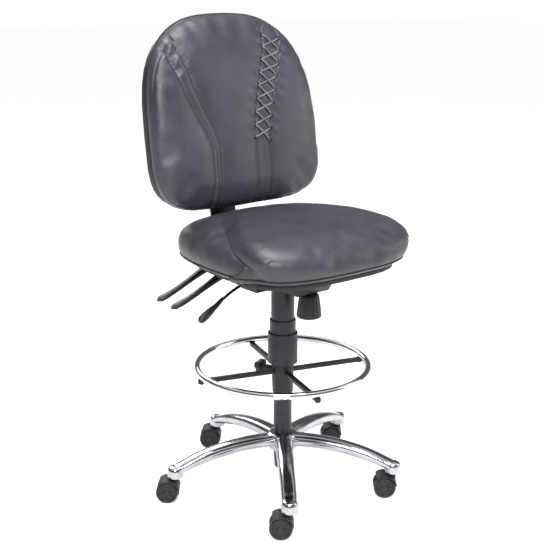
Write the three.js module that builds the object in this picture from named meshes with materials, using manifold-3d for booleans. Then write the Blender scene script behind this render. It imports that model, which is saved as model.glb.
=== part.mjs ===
// Drafting chair: gas column on a five-arm base with a foot ring, a multi-function mechanism,
// an upholstered seat and an upholstered back on an upright bar.
// Millimetres, +Z up. The sitter faces -Y and the levers are at the sitter's right hand, on -X.
import * as THREE from "three";
import { mergeVertices } from "three/addons/utils/BufferGeometryUtils.js";
import Module from "manifold-3d";

const wasm = await Module();
wasm.setup();

// ---- Driving dimensions ----

// fits
const TOUCH = 0.3; // between pieces that rest on each other
const RUN = 0.3; // radial, between a shaft and its hole
const SLIDE = 0.5; // radial, between sleeves that slide

// where the column's axis stands in the part's frame, which is centred under the whole chair
const COLUMN_X = 14;
const COLUMN_Y = -34;

// casters
const WHEEL_RADIUS = 30;
const WHEEL_WIDTH = 17;
const STEM_RADIUS = 5.5;
const STEM_REACH = 26; // into the boss
const NECK_WALL = 3.5; // round the stem
const CASTER_BODY_WIDTH = 2 * (STEM_RADIUS + NECK_WALL); // between the two wheels
const CASTER_TRAIL = 22; // from the stem to the wheels' axle
const CASTER_HEADING = 140.6; // degrees, the way the wheels trail
const AXLE_RADIUS = 3;
const HOOD_GAP = 1.5; // between a wheel and its hood
const HOOD_WALL = 2.5;

// gas column
const STAND_RADIUS = 25;
const STAND_WALL = 3;
const STAND_BOTTOM = 50;
const STAND_TOP = 430;
const STAND_FLOOR = 4; // its bottom plate
const PRESSURE_RADIUS = 14;
const PRESSURE_WALL = 1.6;
const PRESSURE_BOTTOM = 190;
const ROD_RADIUS = 5;
const ROD_TOP = 318;
const BUTTON_RADIUS = 3;
const BUTTON_TRAVEL = 3.4;
const BUTTON_HEAD = 5.3;
const BEARING_HEIGHT = 7;
const BEARING_RADIUS = 15;
const CLIP_THICKNESS = 1.6;
const CLIP_RADIUS = 9;

// base
const ARMS = 5;
const FIRST_ARM = 18; // degrees
const CASTER_CIRCLE = 310; // radius of the stems
const ARM_ROOT_WIDTH = 50;
const ARM_TIP_WIDTH = 40;
const ARM_WALL = 5;
const ARM_RIB = 6; // thickness of the rib down the middle of an arm's hollow underside
const RIB_RECESS = 3; // how far the rib stays above the arm's lower edge
const BOSS_CLEARANCE = 4; // between a hood and the boss above it
const BOSS_RADIUS = 22;
const BOSS_HEIGHT = 31;
const BOSS_BOTTOM = 2 * WHEEL_RADIUS + HOOD_GAP + HOOD_WALL + BOSS_CLEARANCE;
const BOSS_TOP = BOSS_BOTTOM + BOSS_HEIGHT;
const HUB_WALL = 18;
const HUB_RISE = 36; // from the bosses' lower faces to the hub's
const HUB_HEIGHT = 48;
const HUB_RADIUS = STAND_RADIUS + HUB_WALL;
const HUB_BOTTOM = BOSS_BOTTOM + HUB_RISE;
const HUB_TOP = HUB_BOTTOM + HUB_HEIGHT;

// foot ring
const RING_RADIUS = 232.6; // to the tube's centre
const RING_TUBE_RADIUS = 9.5;
const RING_TUBE_WALL = 1.5;
const RING_HEIGHT = 348;
const SPOKES = 4;
const FIRST_SPOKE = -17; // degrees
const SPOKE_HEIGHT = 11;
const SPOKE_WIDTH = 15;
const RING_BUSH_WALL = 1.2;
const RING_HUB_WALL = 3;
const RING_HUB_HEIGHT = 85;
const RING_HUB_RISE = 9; // of its top over the ring's centre
const RING_HUB_TOP = RING_HEIGHT + RING_HUB_RISE;
const RING_HUB_BOTTOM = RING_HUB_TOP - RING_HUB_HEIGHT;
const RING_BUSH_OUTER = STAND_RADIUS + SLIDE + RING_BUSH_WALL;
const RING_HUB_RADIUS = RING_BUSH_OUTER + RUN + RING_HUB_WALL;
const RING_SCREW_RADIUS = 3;
const SCREW_HEAD_RADIUS = 6;
const SCREW_HEAD_HEIGHT = 3;
const RING_KNOB_ANGLE = 115; // degrees
const RING_KNOB_RADIUS = 25;
const RING_KNOB_WIDTH = 18;
const RING_KNOB_NECK = 30; // from the clamp boss to the grip's outer part
const CLAMP_BOSS_RADIUS = 9;
const CLAMP_BOSS_LENGTH = 9;
const CLAMP_STUD_RADIUS = 4;

// telescopic covers
const COVER_WALL = 1.5;
const COVER_FLOOR = 3;
const UPPER_COVER_GAP = 5; // between the stand tube and the upper cover
const MIDDLE_COVER_STEP = 4; // what each cover's radius adds to the one inside it
const LOWER_COVER_STEP = 5;
const UPPER_COVER_RADIUS = STAND_RADIUS + UPPER_COVER_GAP + COVER_WALL;
const MIDDLE_COVER_RADIUS = UPPER_COVER_RADIUS + MIDDLE_COVER_STEP;
const LOWER_COVER_RADIUS = MIDDLE_COVER_RADIUS + LOWER_COVER_STEP;
const LOWER_COVER_BOTTOM = RING_HUB_TOP + SLIDE;
const LOWER_COVER_TOP = LOWER_COVER_BOTTOM + 85.5;
const MIDDLE_COVER_BOTTOM = LOWER_COVER_BOTTOM + 39.5;
const MIDDLE_COVER_TOP = LOWER_COVER_TOP + 37;
const UPPER_COVER_BOTTOM = MIDDLE_COVER_BOTTOM + 35;

// mechanism; heights are over the underside of its shallow end, which carries the seat
const HOUSING_BOTTOM = 578;
const HOUSING_WIDTH = 108;
const HOUSING_FRONT = -138;
const HOUSING_BACK = 130;
const HOUSING_REAR_BOTTOM = HOUSING_BOTTOM - 28; // the deep end, behind the column
const HOUSING_TOP = HOUSING_BOTTOM + 42;
const HOUSING_REAR_TOP = HOUSING_BOTTOM + 28;
const HOUSING_WALL = 3;
const HOUSING_SLOPE = 14; // length of the sloped front of its floor
const AXLE_Y = -75; // tilt axle
const AXLE_Z = HOUSING_BOTTOM + 33;
const PIVOT_Y = 112; // back pivot
const PIVOT_Z = HOUSING_BOTTOM + 2;
const SHAFT_RADIUS = 6; // tilt axle and back pivot pin
const KNOB_Y = -108; // tension knob
const KNOB_TOP_RADIUS = 26;
const KNOB_BOTTOM_RADIUS = 33;
const KNOB_HEIGHT = 64;
const KNOB_SCREW_RADIUS = 5;
const SPRING_RADIUS = 10;
const SPRING_WIRE = 2;
const SPRING_TURNS = 4;
const PRESSURE_TOP = HOUSING_BOTTOM + 21;
const TAPER_WALL = 10; // round the pressure tube's socket
const LEVER_PIVOT_X = -20; // height lever
const LEVER_RADIUS = 4;
const LEVER_BOSS_RADIUS = 7;
const LEVER_LIFT = 0.5; // between the lever and the button
const GRIP_RADIUS = 7.5;
const BUTTON_HEAD_BOTTOM = PRESSURE_TOP + BUTTON_TRAVEL + 2 * TOUCH;
const BUTTON_TOP = BUTTON_HEAD_BOTTOM + BUTTON_HEAD;
const LEVER_Z = BUTTON_TOP + LEVER_LIFT + LEVER_RADIUS;

// seat
const PLATE_BOTTOM = HOUSING_TOP + 15;
const PLATE_THICKNESS = 4;
const PLATE_MARGIN = 30; // of the plate beyond the housing's sides
const PLATE_BACK = 196;
const LIP_BOTTOM = HOUSING_BOTTOM + 23;
const LIP_GAP = 3.5; // between the housing and the seat plate's lips
const LIP_WALL = 3;
const PADDLE_OFFSET = 26; // from the housing's side to the paddles' pivots
const PADDLE_PIVOT_X = -HOUSING_WIDTH / 2 - PADDLE_OFFSET;
const PADDLE_PIVOT_Z = HOUSING_BOTTOM + 38;
const PADDLE_HUB_RADIUS = 7;
const TRUNNION_RADIUS = 3;
const EAR_GAP = 12.5; // half the space between a paddle's two ears
const EAR_WALL = 3;
const SEAT_Y = -28; // centre of the seat
const SEAT_WIDTH = 532;
const SEAT_DEPTH = 526;
const SEAT_THICKNESS = 101;
const SEAT_FRONT_DROP = 20;
const SEAT_NARROWING = 0.075; // share of the width lost at the back, and gained at the front
const SEAT_SQUARENESS = 3.4; // exponent of its superellipse
const BOARD_THICKNESS = 12;
const BOARD_SCALE = 0.86; // of the seat's outline

// back
const BACK_LEAN = 9.5; // degrees
const BAR_BEHIND = 21; // from the seat's rear edge to the bar
const BAR_Y = SEAT_Y + SEAT_DEPTH / 2 + BAR_BEHIND; // where the straight stretch of the bar starts
const BAR_Z = PLATE_BOTTOM + PLATE_THICKNESS + BOARD_THICKNESS + SEAT_THICKNESS - 62;
const BAR_SIDE_GAP = 9; // between the bar and the housing's walls
const BAR_WIDTH = HOUSING_WIDTH - 2 * (HOUSING_WALL + BAR_SIDE_GAP);
const BAR_THICKNESS = 8;
const BAR_LENGTH = 310; // of the straight stretch
const BACK_BOTTOM = 60; // along the bar, from the start of the straight stretch
const BACK_HEIGHT = 515;
const BACK_WIDTH = 548;
const BACK_THICKNESS = 62;
const BACK_CURVE = 22;
const BACK_MIDDLE = 0.42; // share of the height where it is widest
const SHOULDER_SQUARENESS = 2.9; // exponents of the outline's superellipse, above and below the middle
const FOOT_SQUARENESS = 4.6;
const BACK_NARROWING = 0.085;
const SHELL_THICKNESS = 28;
const SLEEVE_SPACER = 42; // between the sleeve and the shell
const SLEEVE_WALL = 3;
const SLEEVE_START = 40; // over the back's lower edge
const SLEEVE_LENGTH = 150;
const SLEEVE_PAD_INSET = 50;

// ---- Helpers ----

const rad = THREE.MathUtils.degToRad;
const finish = (color, roughness, metalness) => new THREE.MeshStandardMaterial({ color, roughness, metalness });
const polished = finish(0xc9cbd0, 0.18, 1);
const chrome = finish(0xdfe2e6, 0.06, 1);
const steel = finish(0x8d9095, 0.35, 1);
const satinBlack = finish(0x2b2930, 0.5, 0.1);
const darkPlastic = finish(0x1d1c20, 0.6, 0);
const blackSteel = finish(0x222226, 0.45, 0.6);
const nylon = finish(0xb9b7ae, 0.7, 0);
const plywood = finish(0xb08c5e, 0.8, 0);
const leather = finish(0x3a3b42, 0.5, 0);

function piece(name, geometry, material, parent) {
  const mesh = new THREE.Mesh(geometry, material);
  mesh.name = name;
  parent.add(mesh);
  return mesh;
}

// A profile of [radius, height] points turned about Z. It starts and ends on the axis, or it is closed here.
function turned(profile, segments = 24) {
  const points = profile.map(([r, z]) => new THREE.Vector2(r, z));
  if (profile[0][0] > 0) points.push(points[0].clone());
  return new THREE.LatheGeometry(points, segments).rotateX(Math.PI / 2);
}

const rod = (r, bottom, top, segments = 16) =>
  turned([[0, bottom], [r, bottom], [r, top], [0, top]], segments);
const pipe = (inner, outer, bottom, top, segments = 24) =>
  turned([[outer, bottom], [outer, top], [inner, top], [inner, bottom]], segments);
const alongX = (geometry, y = 0, z = 0) => geometry.rotateY(Math.PI / 2).translate(0, y, z);
const alongY = (geometry, x = 0, z = 0) => geometry.rotateX(-Math.PI / 2).translate(x, 0, z);

function block([x0, y0, z0], [x1, y1, z1]) {
  const box = new THREE.BoxGeometry(x1 - x0, y1 - y0, z1 - z0);
  return box.translate((x0 + x1) / 2, (y0 + y1) / 2, (z0 + z1) / 2);
}

// A polygon of [y, z] points as wide as x0 to x1.
function sidePlate(outline, x0, x1) {
  const shape = new THREE.Shape(outline.map(([y, z]) => new THREE.Vector2(y, z)));
  const plate = new THREE.ExtrudeGeometry(shape, { depth: x1 - x0, bevelEnabled: false });
  return plate.applyMatrix4(new THREE.Matrix4().set(0, 0, 1, x0, 1, 0, 0, 0, 0, 1, 0, 0, 0, 0, 0, 1));
}

// A polygon of [x, z] points, from -half to half along Y.
function frontPlate(outline, half) {
  const shape = new THREE.Shape(outline.map(([x, z]) => new THREE.Vector2(x, z)));
  const plate = new THREE.ExtrudeGeometry(shape, { depth: 2 * half, bevelEnabled: false });
  return plate.rotateX(Math.PI / 2).translate(0, half, 0);
}

// A cosine or sine pushed out towards its corners, for a superellipse of that exponent.
const squared = (value, exponent) => Math.sign(value) * Math.abs(value) ** (2 / exponent);

// Triangles that close a ring rung by rung, starting from its first point.
function ladder(count) {
  const faces = [[0, 1, count - 1]];
  for (let k = 1; k < count - k - 1; k++) {
    faces.push([k, k + 1, count - k]);
    if (k + 1 < count - k - 1) faces.push([k + 1, count - k - 1, count - k]);
  }
  return faces;
}

// Rings of equally many points, each anticlockwise seen from the last one, joined and closed at both ends.
function loft(rings) {
  const count = rings[0].length;
  const index = [];
  for (let i = 0; i < rings.length - 1; i++) {
    for (let j = 0; j < count; j++) {
      const a = i * count + j;
      const b = i * count + ((j + 1) % count);
      index.push(a, b, b + count, a, b + count, a + count);
    }
  }
  const last = (rings.length - 1) * count;
  for (const [a, b, c] of ladder(count)) {
    index.push(a, c, b);
    index.push(last + a, last + b, last + c);
  }
  const geometry = new THREE.BufferGeometry().setFromPoints(rings.flat());
  geometry.setIndex(index);
  geometry.computeVertexNormals();
  return geometry;
}

function round(radius, sides = 10) {
  const angles = Array.from({ length: sides }, (_, i) => (i / sides) * Math.PI * 2);
  return new THREE.Shape(angles.map((a) => new THREE.Vector2(radius * Math.cos(a), radius * Math.sin(a))));
}

function sweep(curve, shape, steps) {
  return new THREE.ExtrudeGeometry(shape, { extrudePath: curve, steps, bevelEnabled: false, curveSegments: 8 });
}

function toSolid(geometry) {
  const bare = geometry.clone();
  bare.deleteAttribute("normal");
  bare.deleteAttribute("uv");
  const merged = mergeVertices(bare, 1e-3);
  const triVerts = new Uint32Array(merged.index.array);
  const vertProperties = merged.attributes.position.array;
  return new wasm.Manifold(new wasm.Mesh({ numProp: 3, vertProperties, triVerts }));
}

function toGeometry(manifold) {
  const mesh = manifold.getMesh();
  const geometry = new THREE.BufferGeometry();
  geometry.setAttribute("position", new THREE.BufferAttribute(mesh.vertProperties, 3));
  geometry.setIndex(new THREE.BufferAttribute(mesh.triVerts, 1));
  const flat = geometry.toNonIndexed();
  flat.computeVertexNormals();
  return flat;
}

const join = (...geometries) => toGeometry(geometries.map(toSolid).reduce((a, b) => a.add(b)));
const cut = (geometry, ...tools) => toGeometry(tools.map(toSolid).reduce((a, b) => a.subtract(b), toSolid(geometry)));

// ---- Base ----

const chair = new THREE.Group();
chair.position.set(COLUMN_X, COLUMN_Y, 0);
const armAngle = (i) => rad(FIRST_ARM + (i * 360) / ARMS);
const stemTop = BOSS_BOTTOM + STEM_REACH;

// Section of an arm at a distance from the column: a flat-sided bar with a ridged top.
function armSection(distance, width, bottom, top) {
  const side = width / 2;
  const ridge = side * 0.55;
  const outline = [
    [-side + 3, bottom],
    [side - 3, bottom],
    [side, bottom + 6],
    [side, top - 9],
    [ridge, top - 2],
    [0, top],
    [-ridge, top - 2],
    [-side, top - 9],
    [-side, bottom + 6],
  ];
  return outline.map(([y, z]) => new THREE.Vector3(distance, y, z));
}

// How an arm falls from the hub to its boss: heights over the bosses' lower faces.
const armStations = [
  { share: 0, bottom: 49, top: 82 },
  { share: 0.3, bottom: 50, top: 81 },
  { share: 0.55, bottom: 42, top: 73 },
  { share: 0.78, bottom: 27, top: 57 },
  { share: 1, bottom: 6, top: BOSS_HEIGHT },
].map(({ share, bottom, top }) => ({
  distance: THREE.MathUtils.lerp(15, CASTER_CIRCLE, share),
  width: THREE.MathUtils.lerp(ARM_ROOT_WIDTH, ARM_TIP_WIDTH, share),
  bottom: BOSS_BOTTOM + bottom,
  top: BOSS_BOTTOM + top,
}));

function arm() {
  const outer = loft(armStations.map((s) => armSection(s.distance, s.width, s.bottom, s.top)));
  // the hollow underside, between the hub and the boss
  const inside = armStations.slice(1, 4).map((s) =>
    armSection(s.distance, s.width - 2 * ARM_WALL, s.bottom - 20, s.top - ARM_WALL));
  const ribBottom = armStations.map((s) => [s.distance, s.bottom + RIB_RECESS]);
  const ribTop = armStations.map((s) => [s.distance, s.top - ARM_WALL / 2]).reverse();
  return join(cut(outer, loft(inside)), frontPlate([...ribBottom, ...ribTop], ARM_RIB / 2));
}

function baseStar() {
  const arms = [];
  const bosses = [];
  const sockets = [];
  const dome = [
    [0, BOSS_BOTTOM],
    [BOSS_RADIUS, BOSS_BOTTOM],
    [BOSS_RADIUS, BOSS_TOP - 8],
    [BOSS_RADIUS - 7, BOSS_TOP],
    [0, BOSS_TOP],
  ];
  for (let i = 0; i < ARMS; i++) {
    const x = CASTER_CIRCLE * Math.cos(armAngle(i));
    const y = CASTER_CIRCLE * Math.sin(armAngle(i));
    const socket = rod(STEM_RADIUS + RUN, BOSS_BOTTOM - 5, stemTop + TOUCH);
    arms.push(arm().rotateZ(armAngle(i)));
    bosses.push(turned(dome, 20).translate(x, y, 0));
    sockets.push(socket.translate(x, y, 0));
  }
  const hub = turned([
    [0, HUB_BOTTOM],
    [HUB_RADIUS - 8, HUB_BOTTOM],
    [HUB_RADIUS, HUB_BOTTOM + 10],
    [HUB_RADIUS, HUB_TOP - 4],
    [HUB_RADIUS - 5, HUB_TOP],
    [0, HUB_TOP],
  ]);
  const bore = rod(STAND_RADIUS + TOUCH, HUB_BOTTOM - 30, HUB_TOP + 10, 24);
  return cut(join(hub, ...arms, ...bosses), bore, ...sockets);
}
piece("base_star", baseStar(), polished, chair);

// ---- Casters ----

const wheelInner = CASTER_BODY_WIDTH / 2 + SLIDE;
const wheelOuter = wheelInner + WHEEL_WIDTH;
const axleHalf = wheelOuter - 3;
const neckTop = BOSS_BOTTOM - 1;
const stemFoot = WHEEL_RADIUS + 12;

// Built with the axle along Y and the stem at x = 0; the wheels trail towards +X.
function casterHood() {
  const arc = (r, from, to) => Array.from({ length: 8 }, (_, i) => {
    const a = rad(THREE.MathUtils.lerp(from, to, i / 7));
    return [CASTER_TRAIL + r * Math.cos(a), WHEEL_RADIUS + r * Math.sin(a)];
  });
  const inner = WHEEL_RADIUS + HOOD_GAP;
  const band = frontPlate([...arc(inner + HOOD_WALL, 48, 168), ...arc(inner, 168, 48)], wheelOuter);
  const web = frontPlate([...arc(inner + 1, 48, 200), ...arc(AXLE_RADIUS + 6, 250, 380)], CASTER_BODY_WIDTH / 2);
  const neck = rod(STEM_RADIUS + NECK_WALL, WHEEL_RADIUS + 6, neckTop);
  const stemHole = rod(STEM_RADIUS + TOUCH / 2, stemFoot, neckTop + 5);
  const axleHole = alongY(rod(AXLE_RADIUS + RUN, -wheelOuter, wheelOuter), CASTER_TRAIL, WHEEL_RADIUS);
  return cut(join(band, web, neck), stemHole, axleHole);
}

function wheel(side) {
  const bore = AXLE_RADIUS + RUN;
  const profile = [
    [bore, side * wheelInner],
    [WHEEL_RADIUS - 2, side * wheelInner],
    [WHEEL_RADIUS, side * (wheelInner + 3)],
    [WHEEL_RADIUS, side * (wheelOuter - 5)],
    [WHEEL_RADIUS - 6, side * wheelOuter],
    [bore, side * (wheelOuter - 2)],
  ];
  return alongY(turned(side > 0 ? profile : profile.reverse(), 18), CASTER_TRAIL, WHEEL_RADIUS);
}

for (let i = 0; i < ARMS; i++) {
  const caster = new THREE.Group();
  caster.position.set(CASTER_CIRCLE * Math.cos(armAngle(i)), CASTER_CIRCLE * Math.sin(armAngle(i)), 0);
  caster.rotation.z = rad(CASTER_HEADING);
  chair.add(caster);
  const n = i + 1;
  piece(`caster_stem_${n}`, rod(STEM_RADIUS, stemFoot + TOUCH, stemTop), steel, caster);
  piece(`caster_hood_${n}`, casterHood(), darkPlastic, caster);
  const axle = alongY(rod(AXLE_RADIUS, -axleHalf, axleHalf, 12), CASTER_TRAIL, WHEEL_RADIUS);
  piece(`caster_axle_${n}`, axle, steel, caster);
  piece(`wheel_left_${n}`, wheel(1), darkPlastic, caster);
  piece(`wheel_right_${n}`, wheel(-1), darkPlastic, caster);
}

// ---- Gas column ----

const standInner = STAND_RADIUS - STAND_WALL;
const standFloorTop = STAND_BOTTOM + STAND_FLOOR;
const standTube = turned([
  [standInner, STAND_BOTTOM],
  [STAND_RADIUS, STAND_BOTTOM + 45],
  [STAND_RADIUS, STAND_TOP],
  [standInner, STAND_TOP],
  [standInner, STAND_BOTTOM + 48],
  [standInner - STAND_WALL, standFloorTop],
  [ROD_RADIUS + RUN, standFloorTop],
  [ROD_RADIUS + RUN, STAND_BOTTOM],
]);
piece("column_tube", standTube, satinBlack, chair);
const bushInner = PRESSURE_RADIUS + RUN;
const bushOuter = standInner - TOUCH;
const bushTop = STAND_TOP + 3;
const guideBush = turned([
  [bushInner, STAND_TOP - 78],
  [bushOuter, STAND_TOP - 78],
  [bushOuter, STAND_TOP + TOUCH],
  [STAND_RADIUS - 0.5, STAND_TOP + TOUCH],
  [STAND_RADIUS - 0.5, bushTop],
  [bushInner, bushTop],
]);
piece("guide_bush", guideBush, nylon, chair);
const bearingBottom = standFloorTop + TOUCH;
const bearingTop = bearingBottom + BEARING_HEIGHT;
const bearing = pipe(ROD_RADIUS + RUN, BEARING_RADIUS, bearingBottom, bearingTop, 20);
piece("thrust_bearing", bearing, steel, chair);

// The piston rod has a collar that sits on the bearing and a groove for the clip under the floor.
const clipTop = STAND_BOTTOM - TOUCH;
const clipBottom = clipTop - CLIP_THICKNESS;
const rodFoot = clipBottom - 3;
const grooveRadius = ROD_RADIUS - 1;
const collarBottom = bearingTop + TOUCH;
const collarRadius = ROD_RADIUS + 4;
const bottleInner = PRESSURE_RADIUS - PRESSURE_WALL;
const pistonRod = turned([
  [0, rodFoot],
  [ROD_RADIUS, rodFoot],
  [ROD_RADIUS, clipBottom - TOUCH],
  [grooveRadius, clipBottom - TOUCH],
  [grooveRadius, clipTop + TOUCH / 2],
  [ROD_RADIUS, clipTop + TOUCH / 2],
  [ROD_RADIUS, collarBottom],
  [collarRadius, collarBottom],
  [collarRadius, collarBottom + 4],
  [ROD_RADIUS, collarBottom + 5],
  [ROD_RADIUS, ROD_TOP - 10],
  [bottleInner - RUN, ROD_TOP - 10],
  [bottleInner - RUN, ROD_TOP],
  [0, ROD_TOP],
], 20);
piece("piston_rod", pistonRod, steel, chair);
piece("retaining_clip", pipe(grooveRadius + TOUCH, CLIP_RADIUS, clipBottom, clipTop, 16), steel, chair);

const valveBottom = PRESSURE_TOP - 34;
const pressureTube = turned([
  [ROD_RADIUS + RUN, PRESSURE_BOTTOM],
  [PRESSURE_RADIUS - 1, PRESSURE_BOTTOM],
  [PRESSURE_RADIUS, PRESSURE_BOTTOM + 2],
  [PRESSURE_RADIUS, HOUSING_BOTTOM - 3],
  [PRESSURE_RADIUS - 1, PRESSURE_TOP],
  [BUTTON_RADIUS + RUN, PRESSURE_TOP],
  [BUTTON_RADIUS + RUN, valveBottom],
  [bottleInner, valveBottom],
  [bottleInner, PRESSURE_BOTTOM + 14],
  [ROD_RADIUS + RUN, PRESSURE_BOTTOM + 14],
]);
piece("pressure_tube", pressureTube, blackSteel, chair);
const buttonFoot = valveBottom + 6;
const button = turned([
  [0, buttonFoot],
  [BUTTON_RADIUS, buttonFoot],
  [BUTTON_RADIUS, BUTTON_HEAD_BOTTOM],
  [BUTTON_RADIUS + 1, BUTTON_HEAD_BOTTOM],
  [BUTTON_RADIUS + 1, BUTTON_TOP],
  [0, BUTTON_TOP],
], 12);
piece("release_button", button, steel, chair);

// ---- Telescopic covers ----

const lowerCover = turned([
  [STAND_RADIUS + TOUCH, LOWER_COVER_BOTTOM],
  [LOWER_COVER_RADIUS, LOWER_COVER_BOTTOM],
  [LOWER_COVER_RADIUS, LOWER_COVER_TOP],
  [LOWER_COVER_RADIUS - COVER_WALL, LOWER_COVER_TOP],
  [LOWER_COVER_RADIUS - COVER_WALL, LOWER_COVER_BOTTOM + COVER_FLOOR],
  [STAND_RADIUS + TOUCH, LOWER_COVER_BOTTOM + COVER_FLOOR],
]);
piece("cover_lower", lowerCover, satinBlack, chair);
const middleCover = turned([
  [UPPER_COVER_RADIUS + SLIDE, MIDDLE_COVER_BOTTOM],
  [MIDDLE_COVER_RADIUS, MIDDLE_COVER_BOTTOM],
  [MIDDLE_COVER_RADIUS, MIDDLE_COVER_TOP],
  [MIDDLE_COVER_RADIUS - COVER_WALL, MIDDLE_COVER_TOP],
  [MIDDLE_COVER_RADIUS - COVER_WALL, MIDDLE_COVER_BOTTOM + COVER_FLOOR],
  [UPPER_COVER_RADIUS + SLIDE, MIDDLE_COVER_BOTTOM + COVER_FLOOR],
]);
piece("cover_middle", middleCover, satinBlack, chair);
const upperCoverTop = HOUSING_BOTTOM - TOUCH;
const upperCover = turned([
  [UPPER_COVER_RADIUS, UPPER_COVER_BOTTOM],
  [UPPER_COVER_RADIUS, upperCoverTop],
  [PRESSURE_RADIUS + TOUCH, upperCoverTop],
  [PRESSURE_RADIUS + TOUCH, upperCoverTop - COVER_FLOOR],
  [UPPER_COVER_RADIUS - COVER_WALL, upperCoverTop - COVER_FLOOR],
  [UPPER_COVER_RADIUS - COVER_WALL, UPPER_COVER_BOTTOM],
]);
piece("cover_upper", upperCover, satinBlack, chair);

// ---- Foot ring ----

const footRing = new THREE.Group();
chair.add(footRing);
const ringBush = pipe(STAND_RADIUS + SLIDE, RING_BUSH_OUTER, RING_HUB_BOTTOM, RING_HUB_TOP - 1);
piece("ring_bush", ringBush, nylon, footRing);

const spokeAngle = (i) => rad(FIRST_SPOKE + (i * 360) / SPOKES);
const spokeTop = RING_HEIGHT - RING_TUBE_RADIUS - TOUCH;
const spokeBottom = spokeTop - SPOKE_HEIGHT;
const screwTop = RING_HEIGHT - 2;
const toScrew = (geometry, i) => geometry.translate(RING_RADIUS, 0, 0).rotateZ(spokeAngle(i));
const screwHole = (i) => toScrew(rod(RING_SCREW_RADIUS + RUN, spokeBottom - 5, screwTop + 1, 12), i);
const toKnob = (geometry) => alongX(geometry, 0, spokeTop - SPOKE_HEIGHT / 2).rotateZ(rad(RING_KNOB_ANGLE));
const clampBossEnd = RING_HUB_RADIUS + CLAMP_BOSS_LENGTH;
const spokeIndexes = Array.from({ length: SPOKES }, (_, i) => i);

// The hub with its clamp boss, and the spokes that reach under the ring.
function ringSpider() {
  const halfWidth = SPOKE_WIDTH / 2;
  const hub = turned([
    [0, RING_HUB_BOTTOM],
    [RING_HUB_RADIUS - 1.6, RING_HUB_BOTTOM],
    [RING_HUB_RADIUS, RING_HUB_TOP - 30],
    [RING_HUB_RADIUS, RING_HUB_TOP],
    [0, RING_HUB_TOP],
  ]);
  const reach = RING_RADIUS + RING_TUBE_RADIUS;
  const spokes = spokeIndexes.map((i) =>
    block([RING_BUSH_OUTER - 5, -halfWidth, spokeBottom], [reach, halfWidth, spokeTop]).rotateZ(spokeAngle(i)));
  const clampBoss = toKnob(rod(CLAMP_BOSS_RADIUS, RING_BUSH_OUTER - 5, clampBossEnd));
  const clampHole = toKnob(rod(CLAMP_STUD_RADIUS + RUN, 10, clampBossEnd + 5, 12));
  const bore = rod(RING_BUSH_OUTER + RUN, RING_HUB_BOTTOM - 5, RING_HUB_TOP + 5, 24);
  return cut(join(hub, clampBoss, ...spokes), bore, clampHole, ...spokeIndexes.map(screwHole));
}
piece("ring_spider", ringSpider(), satinBlack, footRing);

function ringTube() {
  const section = (r, sides) => Array.from({ length: sides }, (_, i) => {
    const a = (-i / sides) * Math.PI * 2;
    return [RING_RADIUS + r * Math.cos(a), RING_HEIGHT - r * Math.sin(a)];
  });
  const outer = turned(section(RING_TUBE_RADIUS, 12), 40);
  const hollow = turned(section(RING_TUBE_RADIUS - RING_TUBE_WALL, 6), 40);
  // the screw holes open the hollow inside the tube
  return cut(outer, hollow, ...spokeIndexes.map(screwHole));
}
piece("foot_ring_tube", ringTube(), chrome, footRing);

for (const i of spokeIndexes) {
  const headTop = spokeBottom - TOUCH;
  const headBottom = headTop - SCREW_HEAD_HEIGHT;
  const screw = turned([
    [0, headBottom],
    [SCREW_HEAD_RADIUS - 2.5, headBottom],
    [SCREW_HEAD_RADIUS, headBottom + 1],
    [SCREW_HEAD_RADIUS, headTop],
    [RING_SCREW_RADIUS, headTop],
    [RING_SCREW_RADIUS, screwTop],
    [0, screwTop],
  ], 12);
  piece(`ring_screw_${i + 1}`, toScrew(screw, i), blackSteel, footRing);
}

// Clamp knob: three rounded lobes and a threaded stud.
function ringKnob() {
  const from = clampBossEnd + 1;
  const lobes = new THREE.Shape(Array.from({ length: 24 }, (_, i) => {
    const a = (i / 24) * Math.PI * 2;
    const r = RING_KNOB_RADIUS * (0.76 + 0.24 * Math.cos(3 * a));
    return new THREE.Vector2(r * Math.cos(a), r * Math.sin(a));
  }));
  const grip = new THREE.ExtrudeGeometry(lobes, { depth: RING_KNOB_WIDTH, bevelEnabled: false });
  const neck = rod(CLAMP_BOSS_RADIUS, from, from + RING_KNOB_NECK - 6, 12);
  const stud = rod(CLAMP_STUD_RADIUS, RING_BUSH_OUTER + 1, from + 4, 12);
  return toKnob(join(grip.translate(0, 0, from + RING_KNOB_NECK - 10), neck, stud));
}
piece("ring_knob", ringKnob(), darkPlastic, footRing);

// ---- Mechanism ----

const mechanism = new THREE.Group();
chair.add(mechanism);
const half = HOUSING_WIDTH / 2;
const floorBack = PIVOT_Y - 20; // the floor stops short of the back bar's swing
const deepFront = UPPER_COVER_RADIUS + 4; // where the deep end starts
const leverSlotFront = -16;
const leverSlotBack = 26;

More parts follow.
